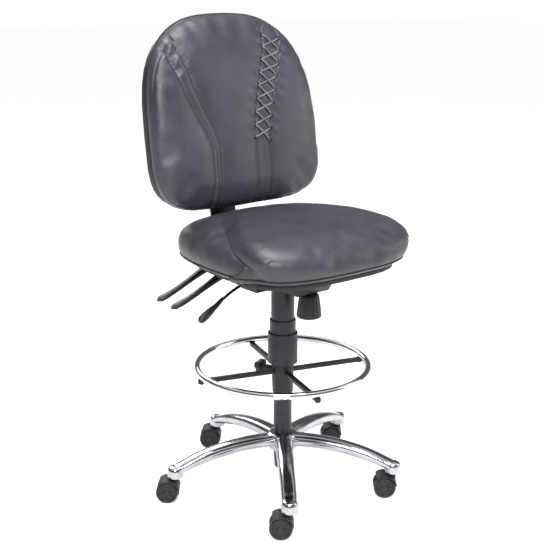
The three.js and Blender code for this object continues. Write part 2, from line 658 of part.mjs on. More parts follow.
// A pan open at the top and the back, deeper behind the column, with a tapered socket for the pressure tube.
function housing() {
  const floor = (inset) => [
    [HOUSING_FRONT + inset, HOUSING_BOTTOM + 22 + inset],
    [HOUSING_FRONT + HOUSING_SLOPE, HOUSING_BOTTOM + inset],
    [deepFront + inset, HOUSING_BOTTOM + inset],
    [deepFront + 10 + inset, HOUSING_REAR_BOTTOM + inset],
  ];
  const side = [
    ...floor(0),
    [floorBack + 20, HOUSING_REAR_BOTTOM],
    [HOUSING_BACK, HOUSING_REAR_BOTTOM + 12],
    [HOUSING_BACK, HOUSING_REAR_TOP],
    [60, HOUSING_REAR_TOP],
    [-20, HOUSING_TOP],
    [HOUSING_FRONT, HOUSING_TOP],
  ];
  const above = HOUSING_TOP + 20;
  const hollow = [
    ...floor(HOUSING_WALL),
    [HOUSING_BACK + 5, HOUSING_REAR_BOTTOM + HOUSING_WALL],
    [HOUSING_BACK + 5, above],
    [HOUSING_FRONT + HOUSING_WALL, above],
  ];
  const inside = half - HOUSING_WALL;
  const shaftHole = (y, z) => alongX(rod(SHAFT_RADIUS + RUN, -half - 5, half + 5), y, z);
  const holes = [
    rod(PRESSURE_RADIUS + TOUCH, HOUSING_BOTTOM - 5, PRESSURE_TOP + 5, 24),
    rod(KNOB_SCREW_RADIUS + RUN, HOUSING_BOTTOM - 5, HOUSING_TOP, 12).translate(0, KNOB_Y, 0),
    shaftHole(AXLE_Y, AXLE_Z),
    shaftHole(PIVOT_Y, PIVOT_Z),
    block([-half - 5, leverSlotFront, LEVER_Z - 18], [-half + 10, leverSlotBack, HOUSING_TOP + 10]),
  ];
  const rearFloor = block([-inside, floorBack, HOUSING_REAR_BOTTOM - 5], [inside, HOUSING_BACK + 5, above]);
  const shell = cut(sidePlate(side, -half, half), sidePlate(hollow, -inside, inside), rearFloor);
  const taperBoss = rod(PRESSURE_RADIUS + TAPER_WALL, HOUSING_BOTTOM + 1, PRESSURE_TOP - 4, 24);
  return cut(join(shell, taperBoss), ...holes);
}
piece("mechanism_housing", housing(), blackSteel, mechanism);
const pivotPin = alongX(rod(SHAFT_RADIUS, -half - 2, half + 2), PIVOT_Y, PIVOT_Z);
piece("back_pivot_pin", pivotPin, steel, mechanism);

// Tension knob with its screw, and the spring round the screw.
function tensionKnob() {
  const top = HOUSING_BOTTOM - 3;
  const bottom = top - KNOB_HEIGHT;
  const profile = [
    [0, bottom],
    [KNOB_BOTTOM_RADIUS - 5, bottom],
    [KNOB_BOTTOM_RADIUS, bottom + 5],
    [KNOB_TOP_RADIUS, top - 4],
    [KNOB_TOP_RADIUS - 4, top],
    [KNOB_SCREW_RADIUS, top],
    [KNOB_SCREW_RADIUS, HOUSING_TOP - 3],
    [0, HOUSING_TOP - 3],
  ];
  return turned(profile, 24).translate(0, KNOB_Y, 0);
}
piece("tension_knob", tensionKnob(), darkPlastic, mechanism);

class Helix extends THREE.Curve {
  constructor(radius, bottom, top, turns) {
    super();
    Object.assign(this, { radius, bottom, top, turns });
  }
  getPoint(t, target = new THREE.Vector3()) {
    const a = t * this.turns * Math.PI * 2;
    const z = THREE.MathUtils.lerp(this.bottom, this.top, t);
    return target.set(this.radius * Math.cos(a), this.radius * Math.sin(a), z);
  }
}
const springFloor = HOUSING_BOTTOM + HOUSING_WALL + 1 + SPRING_WIRE + TOUCH;
const springCurve = new Helix(SPRING_RADIUS, springFloor, HOUSING_TOP - 6, SPRING_TURNS);
const spring = sweep(springCurve, round(SPRING_WIRE, 6), 44).translate(0, KNOB_Y, 0);
piece("tension_spring", spring, steel, mechanism);

// Height lever: a bent rod that presses the release button, and its grip.
const leverPoints = [[1, 0, 0], [-30, 0, 0], [-66, 5, -4], [-150, -6, -14], [-232, -26, -41]];
const gripPoints = [[-236, -27, -42.5], [-266, -34, -54], [-300, -44, -69]];
const along = (points) =>
  new THREE.CatmullRomCurve3(points.map(([x, y, z]) => new THREE.Vector3(x, y, LEVER_Z + z)));
const leverRod = join(
  sweep(along(leverPoints), round(LEVER_RADIUS, 8), 16),
  alongY(rod(LEVER_BOSS_RADIUS, -6, 6, 12), LEVER_PIVOT_X, LEVER_Z),
);
piece("height_lever_rod", leverRod, blackSteel, mechanism);
piece("height_lever_grip", sweep(along(gripPoints), round(GRIP_RADIUS, 10), 6), darkPlastic, mechanism);

// ---- Seat ----

const seat = new THREE.Group();
chair.add(seat);
const plateTop = PLATE_BOTTOM + PLATE_THICKNESS;
const lipInner = half + LIP_GAP;
const lipOuter = lipInner + LIP_WALL;
const plateFront = HOUSING_FRONT - 5;
const paddles = [
  { name: "tilt_lever", root: 82, tip: [-300, 83, HOUSING_BOTTOM - 31] },
  { name: "back_lever", root: 164, tip: [-300, 148, HOUSING_BOTTOM - 25] },
];

function seatPlate() {
  const flange = half + PLATE_MARGIN;
  const lip = [
    [AXLE_Y - 20, PLATE_BOTTOM + 1],
    [AXLE_Y - 12, LIP_BOTTOM],
    [PLATE_BACK - 10, LIP_BOTTOM],
    [PLATE_BACK, PLATE_BOTTOM + 1],
  ];
  const parts = [
    block([-flange, plateFront, PLATE_BOTTOM], [flange, PLATE_BACK, plateTop]),
    sidePlate(lip, -lipOuter, -lipInner),
    sidePlate(lip, lipInner, lipOuter),
  ];
  const tools = [alongX(rod(SHAFT_RADIUS + RUN, -lipOuter - 5, lipOuter + 5), AXLE_Y, AXLE_Z)];
  for (const { root } of paddles) {
    for (const from of [root - EAR_GAP - EAR_WALL, root + EAR_GAP]) {
      const corner = [PADDLE_PIVOT_X - PADDLE_HUB_RADIUS, from, PADDLE_PIVOT_Z - PADDLE_HUB_RADIUS];
      parts.push(block(corner, [-lipOuter + 1, from + EAR_WALL, PLATE_BOTTOM + 1]));
    }
    tools.push(alongY(rod(TRUNNION_RADIUS + RUN, root - 20, root + 20, 12), PADDLE_PIVOT_X, PADDLE_PIVOT_Z));
  }
  // the height lever passes under this notch
  const notch = block([-lipOuter - 5, -20, LIP_BOTTOM - 5], [-lipInner + 2, 34, PLATE_BOTTOM]);
  return cut(join(...parts), ...tools, notch);
}
piece("seat_plate", seatPlate(), blackSteel, seat);
const tiltAxle = alongX(rod(SHAFT_RADIUS, -lipOuter - 2, lipOuter + 2), AXLE_Y, AXLE_Z);
piece("tilt_axle", tiltAxle, steel, mechanism);

// A paddle: a hub on trunnions between its ears and a flat arm that droops to its tip.
function paddle({ root, tip }) {
  const [x, y, z] = tip;
  const hubHalf = EAR_GAP - RUN;
  const pinHalf = EAR_GAP + EAR_WALL;
  const toPivot = (geometry) => alongY(geometry, PADDLE_PIVOT_X, PADDLE_PIVOT_Z);
  const hub = toPivot(rod(PADDLE_HUB_RADIUS, root - hubHalf, root + hubHalf));
  const pins = toPivot(rod(TRUNNION_RADIUS, root - pinHalf, root + pinHalf, 12));
  const stations = [
    { share: 0.01, drop: 0, width: 22, thick: 9 },
    { share: 0.25, drop: 0.1, width: 26, thick: 12 },
    { share: 0.5, drop: 0.42, width: 19, thick: 9 },
    { share: 0.75, drop: 0.76, width: 19, thick: 9 },
    { share: 0.95, drop: 0.95, width: 21, thick: 10 },
    { share: 1, drop: 1, width: 16, thick: 6 },
  ];
  const rings = stations.map(({ share, drop, width, thick }) => {
    const cx = THREE.MathUtils.lerp(PADDLE_PIVOT_X - 2, x, share);
    const cy = THREE.MathUtils.lerp(root, y, share);
    const cz = THREE.MathUtils.lerp(PADDLE_PIVOT_Z, z, drop);
    const corners = [[-1, -0.5], [-1, 0.5], [-0.7, 1], [0.7, 1], [1, 0.5], [1, -0.5], [0.7, -1], [-0.7, -1]];
    return corners.map(([v, w]) => new THREE.Vector3(cx, cy + (v * width) / 2, cz + (w * thick) / 2));
  });
  return join(hub, pins, loft(rings));
}
for (const p of paddles) piece(p.name, paddle(p), darkPlastic, seat);

// Outline of the seat seen from above: a superellipse that narrows a little to the back.
function seatRing(scale, z, drop, count = 36) {
  return Array.from({ length: count }, (_, i) => {
    const a = (0.25 + i / count) * Math.PI * 2;
    const across = squared(Math.cos(a), SEAT_SQUARENESS) * scale;
    const along = squared(Math.sin(a), SEAT_SQUARENESS) * scale;
    const halfWidth = (SEAT_WIDTH / 2) * (1 - (SEAT_NARROWING * along) / scale);
    const fall = drop * Math.max(0, -along) ** 3;
    return new THREE.Vector3(halfWidth * across, SEAT_Y + (SEAT_DEPTH / 2) * along, z - fall);
  });
}
const boardBottom = plateTop + TOUCH;
const boardTop = boardBottom + BOARD_THICKNESS;
const board = loft([seatRing(BOARD_SCALE, boardBottom, 0), seatRing(BOARD_SCALE, boardTop, 0)]);
piece("seat_board", board, plywood, seat);
const cushionBottom = boardTop + TOUCH;
const cushionLevels = [
  { level: 0, scale: 0.9 },
  { level: 0.05, scale: 0.96 },
  { level: 0.2, scale: 0.992 },
  { level: 0.4, scale: 1 },
  { level: 0.62, scale: 0.99 },
  { level: 0.8, scale: 0.955 },
  { level: 0.93, scale: 0.87 },
  { level: 0.99, scale: 0.7 },
  { level: 1.02, scale: 0.35 },
];
const cushionRings = cushionLevels.map(({ level, scale }) =>
  seatRing(scale, cushionBottom + SEAT_THICKNESS * level, SEAT_FRONT_DROP * level));
piece("seat_cushion", loft(cushionRings), leather, seat);

// ---- Back ----

// The bar: a hub on the pivot pin, a stretch under the seat, a bend and the straight upright.
const lean = rad(BACK_LEAN);
function backBar() {
  const underSeat = PIVOT_Z - 6;
  const onLine = (distance) =>
    new THREE.Vector2(BAR_Y + distance * Math.sin(lean), BAR_Z + distance * Math.cos(lean));
  const bend = new THREE.QuadraticBezierCurve(
    new THREE.Vector2(190, underSeat),
    new THREE.Vector2(BAR_Y - (BAR_Z - PIVOT_Z) * Math.tan(lean), underSeat),
    new THREE.Vector2(BAR_Y - 30 * Math.tan(lean), BAR_Z - 30),
  ).getPoints(8);
  const line = [new THREE.Vector2(PIVOT_Y, PIVOT_Z + BAR_THICKNESS / 2), ...bend, onLine(BAR_LENGTH)];
  const outline = [];
  const inner = [];
  line.forEach((p, i) => {
    const a = line[Math.max(0, i - 1)];
    const b = line[Math.min(line.length - 1, i + 1)];
    const along = b.clone().sub(a).normalize();
    const across = new THREE.Vector2(along.y, -along.x).multiplyScalar(BAR_THICKNESS);
    outline.push([p.x + across.x, p.y + across.y]);
    inner.unshift([p.x, p.y]);
  });
  const strip = sidePlate([...outline, ...inner], -BAR_WIDTH / 2, BAR_WIDTH / 2);
  const hub = alongX(rod(SHAFT_RADIUS + 4, -BAR_WIDTH / 2, BAR_WIDTH / 2), PIVOT_Y, PIVOT_Z);
  const hole = alongX(rod(SHAFT_RADIUS + RUN, -BAR_WIDTH, BAR_WIDTH), PIVOT_Y, PIVOT_Z);
  return cut(join(strip, hub), hole);
}
piece("back_bar", backBar(), blackSteel, chair);

// Local frame of the back: +Z up along the bar, origin where the bar's front face starts to run straight.
const back = new THREE.Group();
back.position.set(0, BAR_Y, BAR_Z);
back.rotation.x = -lean;
chair.add(back);

// How far the back bows away from the sitter at a height.
const bow = (z) => BACK_CURVE * (((z - BACK_BOTTOM) / BACK_HEIGHT - 0.35) / 0.65) ** 2;

// Outline of the back at an inset: nearly square below, large round shoulders above.
function backRing(inset, offset, count = 40) {
  const middle = BACK_BOTTOM + BACK_HEIGHT * BACK_MIDDLE;
  return Array.from({ length: count }, (_, i) => {
    const a = (0.25 - i / count) * Math.PI * 2;
    const upper = Math.sin(a) >= 0;
    const exponent = upper ? SHOULDER_SQUARENESS : FOOT_SQUARENESS;
    const rise = BACK_HEIGHT * (upper ? 1 - BACK_MIDDLE : BACK_MIDDLE) - inset;
    const z = middle + rise * squared(Math.sin(a), exponent);
    const taper = BACK_NARROWING * Math.max(0, (z - BACK_BOTTOM) / BACK_HEIGHT - 0.3);
    const halfWidth = (BACK_WIDTH / 2) * (1 - taper) - inset;
    return new THREE.Vector3(halfWidth * squared(Math.cos(a), exponent), offset + bow(z), z);
  });
}
const sleeveFront = -TOUCH - SLEEVE_WALL; // its front wall, before the bar
const shellBack = sleeveFront - TOUCH - SLEEVE_SPACER;
const shellFront = shellBack - SHELL_THICKNESS;
const padBack = shellFront - TOUCH;
const shell = loft([
  backRing(14, shellFront),
  backRing(10, shellFront + 3),
  backRing(10, shellBack - 3),
  backRing(14, shellBack),
]);
piece("back_shell", shell, darkPlastic, back);
const padLevels = [
  { level: 0, inset: 60 },
  { level: 0.03, inset: 26 },
  { level: 0.12, inset: 10 },
  { level: 0.3, inset: 2 },
  { level: 0.5, inset: 0 },
  { level: 0.7, inset: 2 },
  { level: 0.9, inset: 8 },
  { level: 1, inset: 16 },
];
const padRings = padLevels.map(({ level, inset }) => backRing(inset, padBack - BACK_THICKNESS * (1 - level)));
piece("back_cushion", loft(padRings), leather, back);

// The sleeve round the bar, with a pad that meets the shell.
function backSleeve() {
  const inside = BAR_WIDTH / 2 + RUN;
  const wide = inside + SLEEVE_WALL;
  const low = BACK_BOTTOM + SLEEVE_START;
  const high = low + SLEEVE_LENGTH;
  const padLow = low + SLEEVE_PAD_INSET;
  const padHigh = high - SLEEVE_PAD_INSET;
  const padFront = shellBack + Math.max(bow(padLow), bow(padHigh)) + 1;
  const outer = block([-wide, sleeveFront, low], [wide, BAR_THICKNESS + RUN + SLEEVE_WALL, high]);
  const pad = block([-wide, padFront, padLow], [wide, sleeveFront + 1, padHigh]);
  const hollow = block([-inside, -TOUCH, low - 5], [inside, BAR_THICKNESS + RUN, high + 5]);
  return cut(join(outer, pad), hollow);
}
piece("back_sleeve", backSleeve(), satinBlack, back);

export default chair;
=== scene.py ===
import math

import bmesh
import bpy
import numpy as np
from mathutils import Matrix, Vector
from mathutils.bvhtree import BVHTree


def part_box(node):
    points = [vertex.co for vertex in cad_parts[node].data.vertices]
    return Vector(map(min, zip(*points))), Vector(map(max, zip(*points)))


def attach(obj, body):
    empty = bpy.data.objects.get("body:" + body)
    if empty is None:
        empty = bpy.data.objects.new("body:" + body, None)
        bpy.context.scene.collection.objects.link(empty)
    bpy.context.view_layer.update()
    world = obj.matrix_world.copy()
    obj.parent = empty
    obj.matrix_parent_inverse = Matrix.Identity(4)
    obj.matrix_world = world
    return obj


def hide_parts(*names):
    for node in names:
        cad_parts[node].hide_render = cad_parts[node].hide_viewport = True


# A drafting chair: an upholstered seat and back on a gas column, with a foot ring and a polished
# five-arm base. Metres, +Z up. The sitter faces -Y, and the levers are at the sitter's right hand, on -X.
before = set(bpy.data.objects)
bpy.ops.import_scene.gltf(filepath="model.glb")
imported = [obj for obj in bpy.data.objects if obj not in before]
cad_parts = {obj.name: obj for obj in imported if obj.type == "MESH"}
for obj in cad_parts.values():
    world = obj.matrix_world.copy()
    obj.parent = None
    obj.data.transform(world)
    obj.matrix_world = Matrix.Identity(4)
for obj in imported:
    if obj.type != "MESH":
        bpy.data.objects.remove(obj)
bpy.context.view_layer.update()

COLUMN = Vector((0.014, -0.034, 0))
BASE_ARMS = 5
FIRST_ARM = math.radians(18)
CASTER_CIRCLE = 0.31
CASTER_HEADING = math.radians(140.6)
CASTER_TRAIL = 0.022
WHEEL_RADIUS = 0.03
SPOKES = 4
FIRST_SPOKE = math.radians(-17)
KNOB_ANGLE = math.radians(115)
BACK_LEAN = math.radians(9.5)
BACK_ORIGIN = COLUMN + Vector((0, 0.256, 0.690))
TO_BACK = Matrix.Translation(BACK_ORIGIN) @ Matrix.Rotation(-BACK_LEAN, 4, "X")
FROM_BACK = TO_BACK.inverted()

# ---- Materials ----

PATTERN_LOW, PATTERN_HIGH = 0.3, 0.7  # most values of a noise pattern lie between these


class Finish:
    """A material in the making: a principled shader fed by patterns in the piece's own coordinates."""

    def __init__(self, name, colour, roughness, metallic=0.0, **sockets):
        self.material = bpy.data.materials.new(name)
        self.material.use_nodes = True
        self.tree = self.material.node_tree
        self.shader = self.tree.nodes["Principled BSDF"]
        self.place = self.tree.nodes.new("ShaderNodeTexCoord").outputs["Object"]
        self.shader.inputs["Base Color"].default_value = (*colour, 1)
        self.shader.inputs["Roughness"].default_value = roughness
        self.shader.inputs["Metallic"].default_value = metallic
        for socket, value in sockets.items():
            self.shader.inputs[socket.replace("_", " ")].default_value = value

    def node(self, kind, **values):
        made = self.tree.nodes.new("ShaderNode" + kind)
        for key, value in values.items():
            if key in made.inputs:
                made.inputs[key].default_value = value
            else:
                setattr(made, key, value)
        return made

    def join(self, source, target):
        self.tree.links.new(source, target)

    def stretched(self, scale):
        """The piece's coordinates, stretched so that a pattern runs along one axis."""
        mapping = self.node("Mapping")
        mapping.inputs["Scale"].default_value = scale
        self.join(self.place, mapping.inputs["Vector"])
        return mapping.outputs["Vector"]

    def noise(self, scale, detail=4.0, place=None):
        noise = self.node("TexNoise", Scale=scale, Detail=detail)
        self.join(place or self.place, noise.inputs["Vector"])
        return noise.outputs["Fac"]

    def tint(self, value, dark, light, low=PATTERN_LOW, high=PATTERN_HIGH):
        """Colours that run from dark to light with a pattern's value."""
        ramp = self.node("ValToRGB")
        first, last = ramp.color_ramp.elements
        first.position, first.color = low, (*dark, 1)
        last.position, last.color = high, (*light, 1)
        self.join(value, ramp.inputs["Fac"])
        self.join(ramp.outputs["Color"], self.shader.inputs["Base Color"])

    def gloss(self, value, low, high):
        """Roughness that runs from low to high with a pattern's value."""
        spread = self.node("MapRange")
        limits = {"From Min": PATTERN_LOW, "From Max": PATTERN_HIGH, "To Min": low, "To Max": high}
        for key, number in limits.items():
            spread.inputs[key].default_value = number
        self.join(value, spread.inputs["Value"])
        self.join(spread.outputs["Result"], self.shader.inputs["Roughness"])

    def bump(self, height, distance, strength=1.0, under=None):
        bump = self.node("Bump", Strength=strength, Distance=distance)
        self.join(height, bump.inputs["Height"])
        if under is not None:
            self.join(under, bump.inputs["Normal"])
        self.join(bump.outputs["Normal"], self.shader.inputs["Normal"])
        return bump.outputs["Normal"]


def polished_aluminium():
    """Buffed casting: near-mirror, with faint buffing lines and smears."""
    made = Finish("polished_aluminium", (0.50, 0.50, 0.53), 0.14, 1.0)
    smear = made.noise(14, 5)
    made.tint(smear, (0.34, 0.34, 0.37), (0.50, 0.50, 0.53))
    made.gloss(smear, 0.10, 0.22)
    lines = made.noise(60, 3, made.stretched((1, 1, 30)))
    made.bump(lines, 0.00005, 0.5)
    return made.material


def chrome_plate():
    """Bright plate over a slightly uneven tube."""
    made = Finish("chrome_plate", (0.62, 0.62, 0.65), 0.05, 1.0)
    ripple = made.noise(22, 2)
    made.tint(ripple, (0.56, 0.56, 0.59), (0.66, 0.66, 0.69))
    made.gloss(ripple, 0.035, 0.09)
    made.bump(ripple, 0.00012, 0.35)
    return made.material


def moulding(name, dark, light, rough, smooth, grain, depth):
    """Moulded or coated surface: a fine grain with broad changes of gloss."""
    made = Finish(name, light, rough, Specular_IOR_Level=0.35)
    cloud = made.noise(30, 4)
    made.tint(cloud, dark, light)
    made.gloss(cloud, smooth, rough)
    made.bump(made.noise(grain, 3), depth, 0.6)
    return made.material


def turned_steel():
    """Machined steel with fine turning lines."""
    made = Finish("turned_steel", (0.56, 0.57, 0.59), 0.3, 1.0)
    lines = made.noise(400, 3, made.stretched((0.1, 0.1, 6)))
    made.tint(lines, (0.48, 0.49, 0.51), (0.62, 0.63, 0.65))
    made.gloss(lines, 0.24, 0.38)
    made.bump(lines, 0.00005, 0.4)
    return made.material


def stained_plywood():
    """Black-stained sheet: plies on the edge and grain along it."""
    made = Finish("stained_plywood", (0.03, 0.026, 0.024), 0.62)
    plies = made.node("TexWave", Scale=110.0, Distortion=0.6, bands_direction="Z")
    made.join(made.place, plies.inputs["Vector"])
    grain = made.noise(18, 6, made.stretched((1, 8, 1)))
    mixed = made.node("Math", operation="MULTIPLY")
    made.join(plies.outputs["Fac"], mixed.inputs[0])
    made.join(grain, mixed.inputs[1])
    made.tint(mixed.outputs["Value"], (0.005, 0.004, 0.004), (0.015, 0.013, 0.012), 0.1, 0.6)
    made.gloss(grain, 0.55, 0.72)
    made.bump(grain, 0.0003, 0.4)
    return made.material


def soft_leather():
    """Charcoal hide: pebbled grain with fine pores, a soft sheen and cloudy colour."""
    made = Finish("soft_leather", (0.05, 0.05, 0.06), 0.42, Specular_IOR_Level=0.5)
    cloud = made.noise(7, 5)
    made.tint(cloud, (0.018, 0.018, 0.025), (0.035, 0.034, 0.047))
    made.gloss(made.noise(26, 5), 0.34, 0.50)
    pebbles = made.node("TexVoronoi", Scale=520.0, feature="SMOOTH_F1", Smoothness=0.35)
    made.join(made.place, pebbles.inputs["Vector"])
    first = made.bump(pebbles.outputs["Distance"], 0.0005, 0.5)
    made.bump(made.noise(130, 5), 0.0006, 0.35, first)
    return made.material


ALUMINIUM = polished_aluminium()
CHROME = chrome_plate()
STEEL = turned_steel()
COLUMN_PAINT = moulding(
    "column_paint", (0.010, 0.009, 0.017), (0.018, 0.017, 0.028), 0.42, 0.28, 900, 0.00008)
COVER_PLASTIC = moulding(
    "cover_plastic", (0.009, 0.008, 0.015), (0.016, 0.015, 0.025), 0.50, 0.36, 1100, 0.0001)
BLACK_PLASTIC = moulding(
    "black_plastic", (0.004, 0.004, 0.005), (0.011, 0.011, 0.013), 0.52, 0.36, 1300, 0.00015)
CASTER_PLASTIC = moulding(
    "caster_plastic", (0.009, 0.009, 0.011), (0.020, 0.020, 0.023), 0.60, 0.42, 1000, 0.00015)
POWDER_COAT = moulding(
    "powder_coat", (0.003, 0.003, 0.004), (0.008, 0.008, 0.010), 0.55, 0.40, 700, 0.0002)
NYLON = moulding(
    "natural_nylon", (0.60, 0.59, 0.54), (0.74, 0.73, 0.69), 0.55, 0.42, 300, 0.0001)
PLYWOOD = stained_plywood()
LEATHER = soft_leather()
LACE = moulding(
    "grey_lace", (0.085, 0.085, 0.095), (0.16, 0.16, 0.17), 0.50, 0.36, 600, 0.0002)
THREAD = moulding(
    "black_thread", (0.004, 0.004, 0.005), (0.010, 0.010, 0.012), 0.75, 0.55, 1500, 0.0002)

# ---- Modelling helpers ----


def clear():
    """Back to object mode with nothing selected."""
    if bpy.context.object and bpy.context.object.mode != "OBJECT":
        bpy.ops.object.mode_set(mode="OBJECT")
    bpy.ops.object.select_all(action="DESELECT")


def only(piece):
    clear()
    piece.select_set(True)
    bpy.context.view_layer.objects.active = piece


def choose(test, kind="faces"):
    """In edit mode, selects the faces, edges or verts that pass a test, and nothing else."""
    bpy.ops.mesh.select_mode(type=kind[:-1].upper())
    shape = bmesh.from_edit_mesh(bpy.context.object.data)
    bpy.ops.mesh.select_all(action="DESELECT")
    for part in getattr(shape, kind):
        if test(part):
            part.select = True
    shape.select_flush_mode()
    bmesh.update_edit_mesh(bpy.context.object.data)


def modify(piece, kind, **values):
    """Adds a modifier and applies it."""
    only(piece)
    made = piece.modifiers.new(kind, kind)
    for key, value in values.items():
        setattr(made, key, value)
    bpy.ops.object.modifier_apply(modifier=made.name)


def done(piece, name, finish, smooth=35):
    """Ends a piece: outward faces, smooth shading, its name, its finish, and its place in its mesh."""
    only(piece)
    bpy.ops.object.transform_apply(location=True, rotation=True, scale=True)
    bpy.ops.object.mode_set(mode="EDIT")
    bpy.ops.mesh.select_all(action="SELECT")
    bpy.ops.mesh.remove_doubles(threshold=1e-6)
    bpy.ops.mesh.normals_make_consistent(inside=False)
    bpy.ops.object.mode_set(mode="OBJECT")
    bpy.ops.object.shade_smooth_by_angle(angle=math.radians(smooth))
    piece.name = piece.data.name = name
    piece.data.materials.clear()
    piece.data.materials.append(finish)
    return piece


def stands_for(piece, body, slot, *nodes):
    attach(piece, body)
    if nodes:
        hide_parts(*nodes)
    return piece


def round_corners(profile, radius, through, steps=3):
    """A profile of (radius, height) points with its corners rounded.

    Unless it goes through, its ends run to the axis.
    """
    points = [Vector(p) for p in profile]
    out = []
    for i, p in enumerate(points):
        before = points[i - 1] if i or through else Vector((0, p.y))
        after = points[(i + 1) % len(points)] if i < len(points) - 1 or through else Vector((0, p.y))
        to_before, to_after = before - p, after - p
        cut = min(radius, to_before.length * 0.45, to_after.length * 0.45)
        start, end = p + to_before.normalized() * cut, p + to_after.normalized() * cut
        for k in range(steps + 1):
            t = k / steps
            out.append(start * (1 - t) ** 2 + p * 2 * t * (1 - t) + end * t**2)
    return out


def turned(profile, at=(0, 0, 0), segments=64, radius=0.0008, through=False):
    """A piece drawn up ring by ring about an upright axis. With through, the last ring joins the first."""
    clear()
    points = round_corners(profile, radius, through)
    at = Vector(at)
    bpy.ops.mesh.primitive_circle_add(
        vertices=segments, radius=points[0].x, fill_type="NOTHING" if through else "NGON",
        location=at + Vector((0, 0, points[0].y)))
    piece = bpy.context.object
    bpy.ops.object.transform_apply(location=True, rotation=True, scale=True)
    bpy.ops.object.mode_set(mode="EDIT")
    bpy.ops.mesh.select_mode(type="EDGE" if through else "FACE")
    bpy.ops.mesh.select_all(action="SELECT")
    for before, after in zip(points, points[1:]):
        rise = {"value": (0, 0, after.y - before.y)}
        if through:
            bpy.ops.mesh.extrude_edges_move(TRANSFORM_OT_translate=rise)
        else:
            bpy.ops.mesh.extrude_region_move(TRANSFORM_OT_translate=rise)
        share = after.x / before.x
        bpy.ops.transform.resize(value=(share, share, 1), center_override=at + Vector((0, 0, after.y)))
    if through:
        choose(lambda e: e.is_boundary, "edges")
        bpy.ops.mesh.bridge_edge_loops()
    bpy.ops.object.mode_set(mode="OBJECT")
    return piece


def drawn(section, stations):
    """A closed bar: a flat section drawn through stations, each a list of the section's points."""
    clear()
    bpy.ops.mesh.primitive_circle_add(vertices=section, radius=0.01, fill_type="NGON")
    piece = bpy.context.object
    bpy.ops.object.mode_set(mode="EDIT")
    shape = bmesh.from_edit_mesh(piece.data)
    for vertex, point in zip(shape.verts, stations[0]):
        vertex.co = point
    bmesh.update_edit_mesh(piece.data)
    for before, points in zip(stations, stations[1:]):
        bpy.ops.mesh.select_mode(type="FACE")
        bpy.ops.mesh.extrude_region_move()
        shape = bmesh.from_edit_mesh(piece.data)
        face = next(f for f in shape.faces if f.select)
        old = [Vector(p) for p in before]
        pairs = [(v, min(range(section), key=lambda k: (old[k] - v.co).length)) for v in face.verts]
        for vertex, k in pairs:
            vertex.co = points[k]
        bmesh.update_edit_mesh(piece.data)
    bpy.ops.object.mode_set(mode="OBJECT")
    return piece


def solid_copy(node):
    """A copy of a CAD node's solid, left in edit mode with everything selected."""
    clear()
    piece = bpy.data.objects.new(node + "_copy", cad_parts[node].data.copy())
    bpy.context.collection.objects.link(piece)
    only(piece)
    bpy.ops.object.mode_set(mode="EDIT")
    bpy.ops.mesh.select_all(action="SELECT")
    bpy.ops.mesh.remove_doubles(threshold=1e-5)
    return piece


def eased_copy(node, width, segments=2):
    """A copy of a CAD node's solid with its flat faces whole again and its edges eased."""
    piece = solid_copy(node)
    bpy.ops.mesh.dissolve_limited(angle_limit=math.radians(0.5))
    bpy.ops.object.mode_set(mode="OBJECT")
    modify(piece, "BEVEL", width=width, segments=segments, limit_method="ANGLE",
           angle_limit=math.radians(30))
    return piece


def join(first, *others):
    only(first)
    for piece in others:
        piece.select_set(True)
    bpy.ops.object.join()
    return first


def fuse(first, *others):
    """One skin round pieces that run into each other."""
    for piece in others:
        modify(first, "BOOLEAN", operation="UNION", solver="EXACT", object=piece)
        bpy.data.objects.remove(piece)
    return first


def carve(piece, *tools):
    for tool in tools:
        modify(piece, "BOOLEAN", operation="DIFFERENCE", solver="EXACT", object=tool)
        bpy.data.objects.remove(tool)
    return piece


def copied(piece):
    twin = bpy.data.objects.new(piece.name, piece.data.copy())
    bpy.context.collection.objects.link(twin)
    return twin


def move(piece, matrix):
    piece.data.transform(matrix)
    return piece


def strands(lines, radius, resolution, shares=None, steps=12, closed=False):
    """Round strands along lines of points, as one mesh. Shares thin or thicken them point by point."""
    clear()
    curve = bpy.data.curves.new("strands", "CURVE")
    curve.dimensions = "3D"
    curve.resolution_u = steps
    curve.bevel_depth, curve.bevel_resolution, curve.use_fill_caps = radius, resolution, True
    for line in lines:
        spline = curve.splines.new("NURBS")
        spline.points.add(len(line) - 1)
        for point, share, target in zip(line, shares or [1] * len(line), spline.points):
            target.co = (*point, 1)
            target.radius = share
        spline.use_endpoint_u = not closed
        spline.use_cyclic_u = closed
        spline.order_u = 3
    piece = bpy.data.objects.new("strands", curve)
    bpy.context.collection.objects.link(piece)
    only(piece)
    bpy.ops.object.convert(target="MESH")
    return bpy.context.object


def squared(value, exponent):
    """A cosine or sine pushed out towards its corners, for a superellipse of that exponent."""
    return math.copysign(abs(value) ** (2 / exponent), value)


def smooth_line(stops, count):
    """Count rows eased through the stops, which are rows of numbers whose first one rises."""
    stops = np.array(stops, float)
    at = np.linspace(stops[0, 0], stops[-1, 0], count)
    slopes = np.gradient(stops[:, 1:], stops[:, 0], axis=0)
    out = []
    for x in at:
        i = min(max(np.searchsorted(stops[:, 0], x) - 1, 0), len(stops) - 2)
        width = stops[i + 1, 0] - stops[i, 0]
        t = (x - stops[i, 0]) / width
        h = (2 * t**3 - 3 * t**2 + 1, t**3 - 2 * t**2 + t, -2 * t**3 + 3 * t**2, t**3 - t**2)
        row = (h[0] * stops[i, 1:] + h[1] * width * slopes[i]
               + h[2] * stops[i + 1, 1:] + h[3] * width * slopes[i + 1])
        out.append((x, *row))
    return out


def polar(angle, radius, z=0.0):
    return Vector((radius * math.cos(angle), radius * math.sin(angle), z))


def turn(angle, axis="Z"):
    return Matrix.Rotation(angle, 4, axis)


def shift(x=0.0, y=0.0, z=0.0):
    return Matrix.Translation((x, y, z))


AT_COLUMN = Matrix.Translation(COLUMN)

